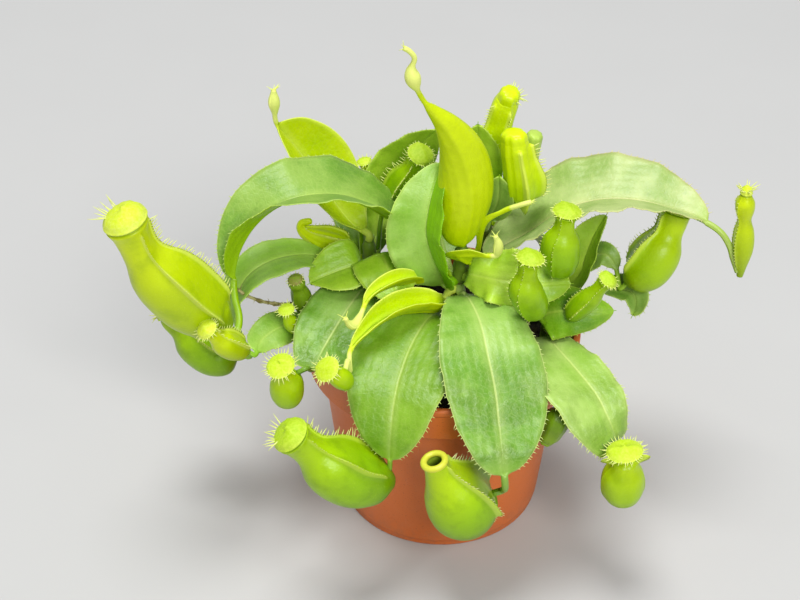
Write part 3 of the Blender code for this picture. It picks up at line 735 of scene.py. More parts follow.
    def add_combs(self, skin, rings, tangents, turns, places, length, rand):
        """Rows of soft hairs along the edges of the two wings."""
        for middle, hair in zip((self.ridge, math.tau - self.ridge), self.comb):
            if not (self.wing and hair):
                continue
            column = nearest(turns, middle)
            s = COMB_START
            while s < COMB_END:
                k = nearest(places, s)
                root = rings[k, column]
                way = unit(root - rings[k].mean(0)) + 0.12 * rand.normal(size=3) + 0.2 * tangents[k]
                size = hair * rand.uniform(0.6, 1.15) * (0.5 + 0.5 * smooth(s / 0.3))
                bend = 0.25 * tangents[k] * rand.uniform(-0.4, 1)
                skin.spine(root, way, size, 0.12 + 0.05 * hair, bend, along=s, rim=1.0)
                s += rand.uniform(1.0, 1.5) / length

    def add_fringe(self, skin, points, axes, places, length, rand):
        """Hairs that stand out round the lid, thickest at the spur behind it."""
        if not self.fringe:
            return
        tangents, normals, sides = axes
        middle, at, radius, lean = math.pi, FRINGE_AT, FRINGE_RADIUS, 0.0
        if self.tuft:
            last = nearest(places, RIM_AT)
            middle = math.atan2(np.dot(self.tuft, sides[last]), np.dot(self.tuft, normals[last]))
            at, radius, lean = TUFT_AT, TUFT_RADIUS, 0.6
        count = max(9, int(self.lid * 2 * self.fringe_arc / FRINGE_GAP))
        for j in range(count):
            turn = middle + self.fringe_arc * (2 * (j + rand.uniform(0.2, 0.8)) / count - 1)
            s = at + rand.uniform(-0.008, 0.02)
            k = nearest(places, s)
            out = math.cos(turn) * normals[k] + math.sin(turn) * sides[k]
            lift = self.tilt * math.cos(turn) - self.sunk(s, length)
            root = points[k] + 0.96 * float(self.radius(s)) * out + lift * tangents[k]
            way = out + 0.22 * rand.normal(size=3) + (rand.uniform(-0.3, 0.4) + lean) * tangents[k]
            size = self.fringe * rand.uniform(0.6, 1.15)
            bend = 0.3 * tangents[k] * rand.uniform(-1, 1)
            skin.spine(root, way, size, radius, bend, along=s, rim=1.0)


def turns_from_front(turns):
    """Angles away from the front of a trap, between -pi and pi."""
    return (turns + math.pi) % math.tau - math.pi


def eased(keys, at):
    """Value between (place, value) keys, eased from each to the next."""
    for (a, low), (b, high) in zip(keys, keys[1:]):
        if at <= b:
            return low + (high - low) * float(smooth((at - a) / (b - a)))
    return keys[-1][1]


def paint_trap(neck, belly, lid_colour, shade):
    """A waxy skin: bright neck, greener belly, darker foot, pale lid and wing edges."""
    def paint(place):
        along, rim, spike = place.mark("along"), place.mark("rim"), place.mark("spike")
        cloud = place.grain(7, 3, rough=0.55)
        speckle = place.grain(0.8, 3, rough=0.7)
        lid = along.fade(0.862, 0.872)
        seam = along.fade(0.855, 0.866) * along.fade(0.878, 0.868)
        cap = (speckle.fade(0.30, 0.70) * 0.6 + along.fade(0.99, 0.90) * 0.4).mix(neck, lid_colour)
        return {
            "Base Color": layered(
                along.fade(0.25, 0.80).mix(belly, neck),
                (cloud.fade(0.55, 0.25) * 0.35, shade),
                (along.fade(0.30, -0.02) * 0.60, shade),
                (place.cells(0.75).fade(0.30, 0.05) * 0.14, shade),
                (speckle.fade(0.55, 0.80) * 0.25, lid_colour),
                (lid, cap),
                (seam * 0.6, shade),
                (rim.fade(0.45, 0.95) * 0.60, lid_colour),
                (spike, (0.74, 0.80, 0.24))),
            "Roughness": TRAP_GLOSS + 0.12 * cloud + 0.20 * lid,
            "Height": 0.05 * place.grain(1.6, 3) + 0.04 * place.cells(0.8) + lid * 0.14 * speckle,
        }
    return paint


# colours of the neck, belly, lid and shaded parts
TRAP_COLOURS = {
    "pale": ((0.48, 0.66, 0.10), (0.40, 0.58, 0.05), (0.56, 0.72, 0.16), (0.20, 0.36, 0.02)),
    "sunlit": ((0.60, 0.74, 0.0), (0.44, 0.60, 0.0), (0.72, 0.84, 0.12), (0.20, 0.34, 0.0)),
    "bright": ((0.38, 0.60, 0.0), (0.25, 0.47, 0.0), (0.58, 0.76, 0.06), (0.08, 0.18, 0.0)),
    "young": ((0.50, 0.70, 0.0), (0.36, 0.58, 0.0), (0.66, 0.82, 0.08), (0.18, 0.34, 0.0)),
    "tender": ((0.66, 0.84, 0.0), (0.58, 0.80, 0.0), (0.80, 0.90, 0.14), (0.32, 0.50, 0.0)),
    "shaded": ((0.22, 0.36, 0.01), (0.15, 0.28, 0.005), (0.32, 0.22, 0.08), (0.07, 0.13, 0.0)),
}
TRAP_FINISHES = {
    look: finish(look + "_trap_skin", paint_trap(*colours), **{"Specular IOR Level": TRAP_SPECULAR})
    for look, colours in TRAP_COLOURS.items()}

# each with its route, the radii of its belly, neck and lid, the height of its wings and the
# way its front faces
TRAPS = [
    Trap("big_left", [(-67.5, -17, 79), (-74, -18, 85), (-81.8, -20, 94.5), (-91, -24, 112),
         (-96, -26.5, 132.5)], 9.8, 5.4, 6.7, 3.0, (0.5, -0.3, 0.8), fringe=4.4, fringe_arc=34,
         comb=(2.3, 0.5), tilt=0.6, tuft=(-1, 0.5, 0.1), look="sunlit"),
    Trap("left_lower", [(-67.5, -3, 56.5), (-73.5, -2, 55.5), (-79.5, 0, 58.5), (-86, 2, 65),
         (-93, 4, 72)], 7.2, 3.9, 3.2, 1.5, (0, 0, 1), fringe=2.6, fringe_arc=70, tuft=(-1, 0, 0.4)),
    Trap("left_small", [(-61.5, -20, 71.5), (-65, -22, 74.5), (-69, -26, 80.5), (-74, -30, 90)], 4.2, 2.3,
         3.3, 1.5, (0.5, 0, 0.8), comb=(1.1, 1.1), look="sunlit"),
    Trap("left_round", [(-48.9, -33, 61.5), (-48.8, -34, 67.5), (-48.8, -35, 73), (-50.7, -37, 81.5)],
         5.4, 3.1, 4.3, fringe=2.2, tilt=-0.5, look="young"),
    Trap("front_left", [(-16, -51, 45), (-30, -54, 50), (-43, -57, 65), (-49, -59, 75)], 9.2, 4.8, 5.7,
         3.0, (0.3, 0, 0.9), fringe=3.4, fringe_arc=50, comb=(2.2, 0.5), tilt=0.5, tuft=(-1, 0, 0.5)),
    Trap("front_right", [(56, -50, 36), (55, -51, 45), (55, -52, 54), (54, -53, 62)], 6.8, 3.7, 5.4, 0.25,
         fringe=2.0, comb=(0, 0), tilt=0.9, spread=80, flare=3.6, look="young"),
    Trap("far_right", [(93.5, -4, 89.7), (93.4, -4, 98), (93, -4, 106), (92, -4, 117), (91.9, -4, 125)],
         3.2, 2.2, 1.9, 0.7, (-1, 0, 0), fringe=2.8, comb=(0.5, 0.5), tuft=(-0.3, -1, 0), look="sunlit",
         shape=((0, 1.0), (0.10, 1.7), (0.30, 3.2), (0.48, 3.0), (0.60, 2.1), (0.72, 3.0), (0.79, 2.9),
         (0.855, 1.9), (0.90, 1.9))),
    Trap("right", [(59.5, 4, 81), (66, 4, 87.5), (71, 7, 96.5), (75, 11, 108.5)], 7.3, 4.6, 4.8, 2.4,
         (-1, 0.2, 0.35), comb=(1.0, 1.2), fringe=1.4, look="young"),
    Trap("front_spiky", [(-29.4, -42, 76), (-31, -43.5, 79.5), (-33, -45, 82.5), (-36.3, -48, 88)], 3.3,
         2.7, 3.9, 0, (-0.5, -0.8, 0), fringe=1.9, look="young"),
    Trap("right_tall", [(38, -2, 89), (37, -5.5, 95.5), (36, -9, 99), (36, -9, 106), (36.6, -9, 112.5),
         (37.3, -9, 120.5)], 6.0, 2.9, 4.3, 0.5, (-0.9, -0.4, 0), ("right", 77, -75), 0.44, 1.3,
         comb=(0.6, 0.6)),
    Trap("centre_right", [(33, -8, 73), (31, -15, 80), (28, -18, 87), (25, -20, 95), (25, -20, 102),
         (26, -20, 111)], 5.4, 2.9, 4.2, 0.5, (-0.9, -0.4, 0), ("right", 69, -110), 0.45, 1.4,
         comb=(0.6, 0.6)),
    Trap("right_low", [(39, -12, 79), (43, -14, 85.5), (46, -15, 90), (51.5, -17, 99.5)], 3.7, 2.3, 3.1,
         0.8, (-0.5, -0.5, 0.5), ("right", 74, -35), 0.4, 1.4, comb=(0.6, 0.6)),
    Trap("top_front", [(22.5, 18, 103), (24, 13, 111), (23.4, 12, 118), (22.2, 12, 125.5),
         (21.2, 12, 133)], 4.7, 4.2, 3.9, 3.4, (0.8, -0.6, 0), ("back", 92, -45), 0.36, 0, comb=(2.2, 0),
         closed=True, look="tender"),
    Trap("top_back", [(15.7, 27, 110), (16.6, 28, 119), (18.6, 28, 130), (21.0, 26, 139.5)], 4.8, 4.4,
         3.6, 2.8, (-0.3, -0.9, 0), ("back", 100, None), 0.24, 2.8, 75, comb=(1.0, 2.0),
         tuft=(1, 0.3, 0.2), closed=True, look="tender"),
    Trap("top_small", [(25, 29, 96), (28.5, 31, 103), (28.5, 33, 111), (30, 33, 120)], 3.4, 3.0, 2.9,
         stem=("back", 88, 10), stalk=0.4, fringe=0, closed=True, look="pale"),
    Trap("back_left", [(-20, 29, 90), (-17.5, 29, 94), (-14.9, 29, 99), (-12.4, 28.5, 104.5),
         (-9.3, 27, 111), (-6, 24, 119.5)], 4.2, 3.1, 4.4, 1.9, (-0.7, -0.5, 0.4), ("left", 84, 50), 0.39,
         1.0, comb=(1.8, 1.8)),
    Trap("back_bud", [(-27, 31, 88), (-26, 37, 96), (-25, 39, 101), (-26, 39, 107)], 2.4, 1.8, 2.4,
         stem=("left", 80, 125), stalk=0.62, look="young"),
    Trap("left_curled", [(-31.7, 20, 84.6), (-37.5, 20, 86.2), (-42.6, 20, 88.5), (-45.8, 19, 91.6),
         (-45.6, 19, 94.3), (-42.4, 19, 95.2)], 3.6, 1.3, 1.1, 1.6, (0, 0, 1), stem=("left", 81, 155),
         stalk=0.16, fringe=0, comb=(0.7, 0.7), closed=True, look="sunlit"),
    Trap("left_dark", [(-35, 13, 75), (-41, 5, 74), (-44.5, 0, 75.5), (-45.6, -1, 80), (-46.6, -2, 85),
         (-47.4, -3, 89)], 3.3, 2.8, 2.4, 0.6, stem=("left", 74, -170), stalk=0.6, fringe=1.2,
         comb=(0, 0), look="shaded"),
    Trap("left_bud", [(-34, -2, 68), (-42, -6, 69.5), (-48, -9, 74), (-50, -11, 83)], 2.5, 1.8, 2.6,
         stem=("left", 64, -125), stalk=0.7, fringe=1.4, look="young"),
    Trap("right_under", [(32, -18, 66), (32, -29, 69.2), (33, -36, 69.3), (35, -41, 66), (33.5, -42, 60),
         (31, -42, 53.5)], 4.4, 3.4, 2.6, stem=("right", 63, -100), stalk=0.75, fringe=0, closed=True,
         look="shaded"),
]
TRAP_BY_NAME = {trap.name: trap for trap in TRAPS}
for trap in TRAPS:
    trap.make(TRAP_FINISHES[trap.look],
              "pitcher_dark" if trap.look == "shaded" else "pitcher_green")

# ---------------------------------------------------------------- open trap
# The one trap whose lid has come away: a hollow sack with a thin wall, and a thick rolled
# mouth ring, finely ribbed across, that has turned yellow.
OPEN_ROUTE = [(9, -51, 28), (4.6, -54, 40), (-1.6, -56.4, 53), (-3.8, -57, 60)]
OPEN_BELLY = 10.9
OPEN_NECK = 3.9
OPEN_WING = 3.0
NO_LID = 0
OPEN_WALL = 0.6
OPEN_LIP = 1.0
OPEN_RIBS = 36
OPEN_OUTER_ROWS = 60
OPEN_RING_ROWS = 16
OPEN_INNER_ROWS = 44
OPEN_OUTER_END = 0.945
OPEN_RING_AT = 0.962
OUTSIDE, RING, INSIDE = 0, 1, 2


class OpenTrap(Trap):
    """The open trap: an outer skin, a rolled ring and an inner skin in one closed surface."""

    def radius(self, s):
        b = self.belly
        keys = [(0, 0.22 * b), (0.06, 0.64 * b), (0.18, 0.93 * b), (0.36, b), (0.54, 0.86 * b),
                (0.72, 0.55 * b), (0.88, self.neck), (0.95, self.neck * 0.98), (1.0, self.neck)]
        return profile(keys, s)

    def wing_height(self, s):
        edge = self.wing * (1 - 0.4 * smooth((s - 0.5) / 0.3))
        return edge * smooth((s - 0.19) / 0.09) * smooth((0.95 - s) / 0.05)

    def make(self, material, slot):
        """The three layers in one skin, with the hairs of the two wings."""
        rand = np.random.default_rng(5)
        skin = Skin()
        turns = self.skin_angles()
        outer = np.linspace(0, OPEN_OUTER_END, OPEN_OUTER_ROWS)
        curl = np.linspace(-0.45 * math.pi, 1.1 * math.pi, OPEN_RING_ROWS)
        rows = [(s, 0.0, OUTSIDE) for s in outer]
        rows += [(OPEN_RING_AT, angle, RING) for angle in curl]
        rows += [(s, 0.0, INSIDE) for s in np.linspace(0.93, 0.10, OPEN_INNER_ROWS)]
        places = sorted({row[0] for row in rows})
        points, length = curve(self.route, places)
        tangents, normals, sides = frames(points, self.front, nearest(places, BELLY_AT))
        rings, along, rim, under = [], [], [], []
        for s, angle, layer in rows:
            k = places.index(s)
            centre = points[k]
            height = float(self.wing_height(s)) if layer == OUTSIDE else 0.0
            reach = np.full_like(turns, float(self.radius(s)))
            if layer == OUTSIDE:
                reach = self.section(turns, reach, height)
            elif layer == RING:
                rib = 1 + 0.05 * np.cos(OPEN_RIBS * turns)
                reach = self.neck - 0.55 + OPEN_LIP * np.cos(angle) * rib
                centre = centre + tangents[k] * OPEN_LIP * math.sin(angle)
            else:
                reach = reach - OPEN_WALL
            rings.append(centre + around(turns, reach, normals[k], sides[k]))
            along.append(np.full_like(turns, 2.0 if layer == RING else s))
            rim.append(self.edge_share(turns) * smooth(height))
            under.append(np.full_like(turns, layer == INSIDE))
        rings = np.array(rings)
        skin.tube(rings, along=np.array(along), rim=np.array(rim), under=np.array(under), tint=0.5)
        self.add_combs(skin, rings, tangents[[places.index(s) for s in outer]], turns, outer,
                       length, rand)
        skin.piece("trap_open", "pitcher_open", slot, material)


def paint_open_trap(place):
    along, rim = place.mark("along"), place.mark("rim")
    spike, inside = place.mark("spike"), place.mark("under")
    cloud = place.grain(5, 3, rough=0.6)
    ring = place.grain(1.2, 3).mix((0.58, 0.62, 0.02), (0.72, 0.74, 0.08))
    return {
        "Base Color": layered(
            along.fade(0.30, 0.90).mix((0.27, 0.50, 0.0), (0.44, 0.64, 0.0)),
            (cloud.fade(0.55, 0.25) * 0.30, (0.12, 0.24, 0.0)),
            (along.fade(0.45, -0.02) * 0.7, (0.10, 0.20, 0.0)),
            (place.cells(0.75).fade(0.30, 0.05) * 0.14, (0.12, 0.22, 0.0)),
            (inside, (0.34, 0.52, 0.03)),
            (along.fade(1.0, 1.9), ring),
            (rim.fade(0.45, 0.95) * 0.60, (0.62, 0.78, 0.10)),
            (spike, (0.74, 0.78, 0.34))),
        "Roughness": TRAP_GLOSS + 0.12 * cloud,
        "Height": 0.05 * place.grain(1.6, 3) + 0.04 * place.cells(0.8),
    }


open_trap = OpenTrap("open", OPEN_ROUTE, OPEN_BELLY, OPEN_NECK, NO_LID, OPEN_WING,
                     (1, 0.1, 0.5), comb=(2.2, 1.2))
TRAP_BY_NAME["open"] = open_trap
open_trap.make(finish("open_trap_skin", paint_open_trap,
                      **{"Specular IOR Level": TRAP_SPECULAR}), "pitcher_green")

# ---------------------------------------------------------------- leaves
# Each leaf is one living piece: a stalk that clasps the stem, a leathery blade with a sunken
# midrib above and a keel below, small soft teeth along its margin, and the tendril that the
# midrib runs on as.
PETIOLE_RADIUS = 1.2
BLADE_THICKNESS = 0.62
HALF_COLUMNS = 13
BLADE_ROWS = 74
BLADE_MIDDLE = 0.42
PETIOLE_ROWS = 8
TENDRIL_ROWS = 30
SHORT_TIP = 0.93
POINTED_TIP = 0.955
SHEATH_SINK = 1.6
SEAT_OVERLAP = 1.0
GROOVE_DEPTH = 0.22
GROOVE_WIDTH = 0.5
KEEL_DEPTH = 0.55
KEEL_WIDTH = 0.8
LEAF_GLOSS = 0.34
TOOTH_RADIUS = 0.17
CROWN_RADIUS = 0.22


class Leaf:
    """A blade on a short clasping stalk; its midrib runs on as the tendril. blade gives where
    the blade starts and ends along the route. fold and cup are angles of the left and right
    half, close folds both further toward the tip, and turned shows the underside of a half."""

    def __init__(self, name, stem, route, blade, width, widest=0.5, fold=(0, 0), cup=(0, 0),
                 up=(0, 0, 1), close=0.0, blunt=0.6, halves=(1, 1), seat=None, bud=0.0,
                 bud_place=(0.35, 1.0), stalk=PETIOLE_RADIUS, tendril=TENDRIL_RADIUS, twist=0.0,
                 turned=0, look="leathery", teeth=0.9, wave=0.035, crown=0):
        self.name = "leaf_" + name
        self.route = from_stem(*stem, PETIOLE_RADIUS) + route + (seat or [])
        self.sunk, self.joined = stem[2] is not None, seat is not None
        self.blade, self.width, self.widest, self.blunt = blade, width, widest, blunt
        self.fold, self.cup, self.up, self.close = fold, cup, up, close
        self.halves, self.twist, self.turned = halves, math.radians(twist), turned
        self.bud, self.bud_place, self.stalk, self.tendril = bud, bud_place, stalk, tendril
        self.look, self.teeth, self.wave, self.crown = look, teeth, wave, crown

    def half_width(self, u):
        """Half of the blade's width at a share of its length."""
        bend = math.log(0.5) / math.log(self.widest)
        return 0.5 * self.width * max(math.sin(math.pi * u ** bend), 0) ** self.blunt

    def rod_radius(self, t):
        """Radius of the stalk, midrib and tendril at a share of the route."""
        start, end = self.blade
        radius = self.stalk + (self.tendril - self.stalk) * smooth((t - start) / (end - start))
        if end > POINTED_TIP:
            radius = radius * (1 - 0.85 * smooth((t - end + 0.15) / 0.15))
        if self.bud:
            low, high = self.bud_place
            u = np.clip(((t - end) / (1 - end) - low) / (high - low), 0, 1)
            radius = radius + self.bud * np.sin(math.pi * u) ** 1.5
        return float(radius)

    def bent(self, s, half, lift, close):
        """Points across the blade, whose halves fold and curl up by their angles."""
        right = s >= 0
        fold = np.radians(np.where(right, self.fold[1], self.fold[0]) + close)
        cup = np.radians(np.where(right, self.cup[1], self.cup[0]))
        cup = np.where(np.abs(cup) < 1e-6, 1e-6, cup)
        turn = fold + cup * np.abs(s)
        side = half / cup * (np.sin(turn) - np.sin(fold)) - lift * np.sin(turn)
        height = half / cup * (np.cos(fold) - np.cos(turn)) + lift * np.cos(turn)
        return np.sign(s) * np.abs(side), height

    def make(self, material, slot):
        """The stalk, blade and tendril in one skin, with teeth and the hairs at the tip."""
        rand = np.random.default_rng(sum(map(ord, self.name)))
        skin = Skin()
        start, end = self.blade
        rows = np.unique(np.concatenate([
            np.linspace(0, start, PETIOLE_ROWS),
            start + (end - start) * smooth_ends(np.linspace(0, 1, BLADE_ROWS)),
            np.linspace(end, 1, TENDRIL_ROWS if end < SHORT_TIP else PETIOLE_ROWS)]))
        points, length = curve(self.route, rows)
        tangents, normals, sides = frames(
            points, self.up, nearest(rows, start + BLADE_MIDDLE * (end - start)))
        if self.joined:
            points[-1] += SEAT_OVERLAP * tangents[-1]
        if self.sunk:
            points[0] -= SHEATH_SINK * tangents[0]
        s_top = np.linspace(-1, 1, 2 * HALF_COLUMNS + 1)
        s_top = np.sign(s_top) * np.abs(s_top) ** 1.35
        s = np.concatenate([s_top, s_top[::-1]])
        layer = np.repeat([1.0, -1.0], len(s_top))
        angle = layer * math.pi / 2 * (1 - s)
        phase, second = rand.uniform(0, math.tau, 2)
        wavelength = rand.uniform(11, 16)
        marks = {name: [] for name in ("along", "rib", "rim", "under")}
        rings = []
        for t, centre, normal, side in zip(rows, points, normals, sides):
            u = (t - start) / (end - start)
            half = self.half_width(u) if start < t < end else 0.0
            rod = self.rod_radius(t)
            reach = half * np.where(s >= 0, self.halves[1], self.halves[0])
            across = np.abs(s) * reach
            body = 0.5 * BLADE_THICKNESS * (1 - s * s)
            top = body + 0.10 - GROOVE_DEPTH * hump(across, GROOVE_WIDTH)
            low = -body - 0.12 - KEEL_DEPTH * hump(across, KEEL_WIDTH) * (1 - 0.4 * u)
            waves = math.tau * t * length / wavelength
            ripple = self.wave * half * np.abs(s) ** 2.2 * (
                np.sin(waves + phase + 1.2 * np.sign(s)) + 0.5 * np.sin(waves / 0.47 + second))
            lift = np.where(layer > 0, top, low) + ripple
            x, y = self.bent(s, reach, lift, self.close * float(smooth(2 * u - 1)))
            share = float(smooth((half - rod) / (2 * rod)))
            if self.sunk:
                rod *= 1 + 0.5 * math.exp(-t * length / 2.0)
            x = rod * np.cos(angle) * (1 - share) + x * share
            y = rod * np.sin(angle) * (1 - share) + y * share
            turn = self.twist * (float(np.clip(u, 0, 1)) - BLADE_MIDDLE)
            x, y = x * math.cos(turn) - y * math.sin(turn), x * math.sin(turn) + y * math.cos(turn)
            rings.append(centre + x[:, None] * side + y[:, None] * normal)
            marks["along"].append(np.full_like(s, u))
            marks["rib"].append(across * share + (1 - share) * 0.2)
            marks["rim"].append(reach - across + (1 - share) * 3)
            marks["under"].append(np.where((layer < 0) | (self.turned * s > 0.06), 1.0, 0.0))
        rings = np.array(rings)
        tone = rand.uniform(0, 1)
        skin.tube(rings, tint=tone, **{name: np.array(value) for name, value in marks.items()})
        if self.teeth:
            self.add_teeth(skin, rings, tangents, normals, rows, tone, rand)
        self.add_crown(skin, points[-1], tangents[-1], rand)
        skin.piece(self.name, self.name, slot, material)

    def add_teeth(self, skin, rings, tangents, normals, rows, tone, rand):
        """Small soft teeth along both margins, closer together near the tip."""
        start, end = self.blade
        count = 2 * HALF_COLUMNS
        for column, inner in ((0, 2), (count, count - 2)):
            edge = rings[:, column]
            steps = np.linalg.norm(np.diff(edge, axis=0), axis=1)
            reach = np.concatenate([[0], np.cumsum(steps)])
            low, high = np.interp([start + u * (end - start) for u in (0.07, 0.985)], rows, reach)
            at = low + rand.uniform(0, 2)
            while at < high:
                k = min(int(np.searchsorted(reach, at)), len(rows) - 1)
                near_tip = float(smooth((at - low) / (high - low)))
                way = (unit(edge[k] - rings[k, inner]) + 0.55 * tangents[k] * rand.uniform(0.1, 1.2)
                       + 0.18 * rand.normal(size=3))
                size = self.teeth * rand.uniform(0.55, 1.15) * (0.75 + 0.5 * near_tip)
                radius = TOOTH_RADIUS * (0.6 + 0.4 * self.teeth)
                skin.spine(edge[k] - 0.1 * normals[k], way, size, radius, 0.25 * tangents[k],
                           tint=tone, along=0.5)
                at += rand.uniform(1.9, 3.4) * (1 - 0.35 * near_tip)

    def add_crown(self, skin, tip, tangent, rand):
        """Pale hairs at the end of a young tendril, where its trap will form."""
        for _ in range(self.crown):
            aside = unit(np.cross(tangent, rand.normal(size=3)))
            skin.spine(tip - 0.4 * tangent, tangent + 0.75 * aside, rand.uniform(1.6, 2.6),
                       CROWN_RADIUS, 0.3 * aside, along=1.3)


def smooth_ends(u):
    """Even steps drawn closer together toward both ends."""
    return u - 0.09 * np.sin(math.tau * u)


def times(colour, factor):
    """A colour made lighter or darker."""
    return tuple(factor * c for c in colour)


def paint_leaf(light, dark, below, margin, patch=0.0, ribbed=0.35, bud=None):
    """Leathery skin: fine mottling and cross wrinkles, a thin pale rib and margin, a plain
    brighter underside, and on some leaves a darker puckered patch near the tip."""
    def paint(place):
        rib, rim = place.mark("rib"), place.mark("rim")
        under, spike, along = place.mark("under"), place.mark("spike"), place.mark("along")
        broad = place.grain(16, 2)
        blotch = place.grain(3.0, 4, rough=0.6)
        fine = place.grain(0.5, 3, rough=0.7)
        net = place.cells(1.5, "DISTANCE_TO_EDGE")
        pucker = along.fade(0.45, 0.65) * along.fade(0.99, 0.90) * place.grain(9, 2).fade(0.35, 0.6)
        colour = layered(
            broad.fade(0.34, 0.66).mix(dark, light),
            (blotch.fade(0.50, 0.75) * 0.30, times(light, 1.2)),
            (blotch.fade(0.46, 0.25) * 0.35, times(dark, 0.7)),
            (fine.fade(0.55, 0.75) * 0.20, times(light, 1.45)),
            (pucker * patch, times(dark, 0.6)),
            # painted shade: each blade darkened toward its base, next to the stem
            (along.fade(0.22, 0.0) * 0.55, times(dark, 0.6)),
            (net.fade(0.10, 0.0) * 0.12, margin),
            (place.mark("tint").fade(0.4, 1.0) * 0.30, times(dark, 0.8)),
            (rib.fade(3.0, 0.3) * 0.20, margin),
            (rib.fade(0.50, 0.18) * (1 - along.fade(0.70, 0.95)) * ribbed, margin),
            (along.fade(0.90, 1.02) * 0.6, below),
            (rim.fade(2.2, 0.4) * 0.16, margin),
            (rim.fade(0.36, 0.12) * 0.75, margin),
            (under, (blotch * 0.8).mix(below, times(below, 0.72))))
        if bud:
            colour = (along.fade(0.99, 1.04) * 0.7).mix(colour, bud)
        veins = 0.03 * place.math("SINE", rib * 2.3) - 0.02 * net.fade(0.12, 0.0)
        wrinkles = (0.06 + pucker * (0.9 * patch)) * place.grain(2.2, 3, rough=0.5)
        return {
            "Base Color": spike.mix(colour, margin),
            "Roughness": LEAF_GLOSS + 0.12 * blotch,
            "Height": wrinkles + 0.01 * fine + 0.22 * blotch + veins,
        }
    return paint


# reflection, then the light, dark, underside and margin colours; then, where a leaf has them,
# how dark its puckered patch is, how clear its midrib, and the colour of its bud
LEAF_LOOKS = {
    "leathery": (0.45, (0.27, 0.48, 0.03), (0.15, 0.33, 0.008), (0.16, 0.34, 0.0),
                 (0.56, 0.68, 0.17), 0.3),
    "puckered": (0.5, (0.33, 0.54, 0.10), (0.15, 0.35, 0.02), (0.16, 0.34, 0.0),
                 (0.58, 0.70, 0.22), 0.6, 0.6),
    "folded": (0.45, (0.38, 0.60, 0.12), (0.24, 0.48, 0.03), (0.25, 0.56, 0.0),
               (0.58, 0.76, 0.16)),
    "arching": (0.4, (0.27, 0.44, 0.07), (0.15, 0.32, 0.028), (0.34, 0.58, 0.0),
                (0.54, 0.68, 0.16)),
    "pale_arching": (0.5, (0.49, 0.60, 0.22), (0.28, 0.43, 0.09), (0.38, 0.56, 0.05),
                     (0.66, 0.62, 0.28), 0.0, 0.5),
    "light_green": (0.5, (0.44, 0.64, 0.15), (0.29, 0.51, 0.06), (0.40, 0.60, 0.0),
                    (0.66, 0.78, 0.24), 0.5, 0.5),
    "lush": (0.5, (0.42, 0.64, 0.035), (0.27, 0.50, 0.010), (0.28, 0.50, 0.0),
             (0.62, 0.78, 0.12)),
    "fresh_green": (0.5, (0.21, 0.44, 0.005), (0.11, 0.29, 0.001), (0.18, 0.38, 0.0),
                    (0.52, 0.70, 0.08)),
    "young": (0.3, (0.64, 0.80, 0.0), (0.50, 0.70, 0.0), (0.64, 0.80, 0.0),
              (0.82, 0.90, 0.20), 0.0, 0.35, (0.84, 0.88, 0.28)),
}
LEAF_FINISHES = {
    look: finish(look + "_leaf", paint_leaf(*details), **{"Specular IOR Level": reflection})
    for look, (reflection, *details) in LEAF_LOOKS.items()}


def seat(name, s, toward):
    """The end of a tendril that meets the side of a trap."""
    return TRAP_BY_NAME[name].seat(s, toward)


def foot(name):
    """The end of a tendril that runs into the foot of a trap."""
    return TRAP_BY_NAME[name].foot()


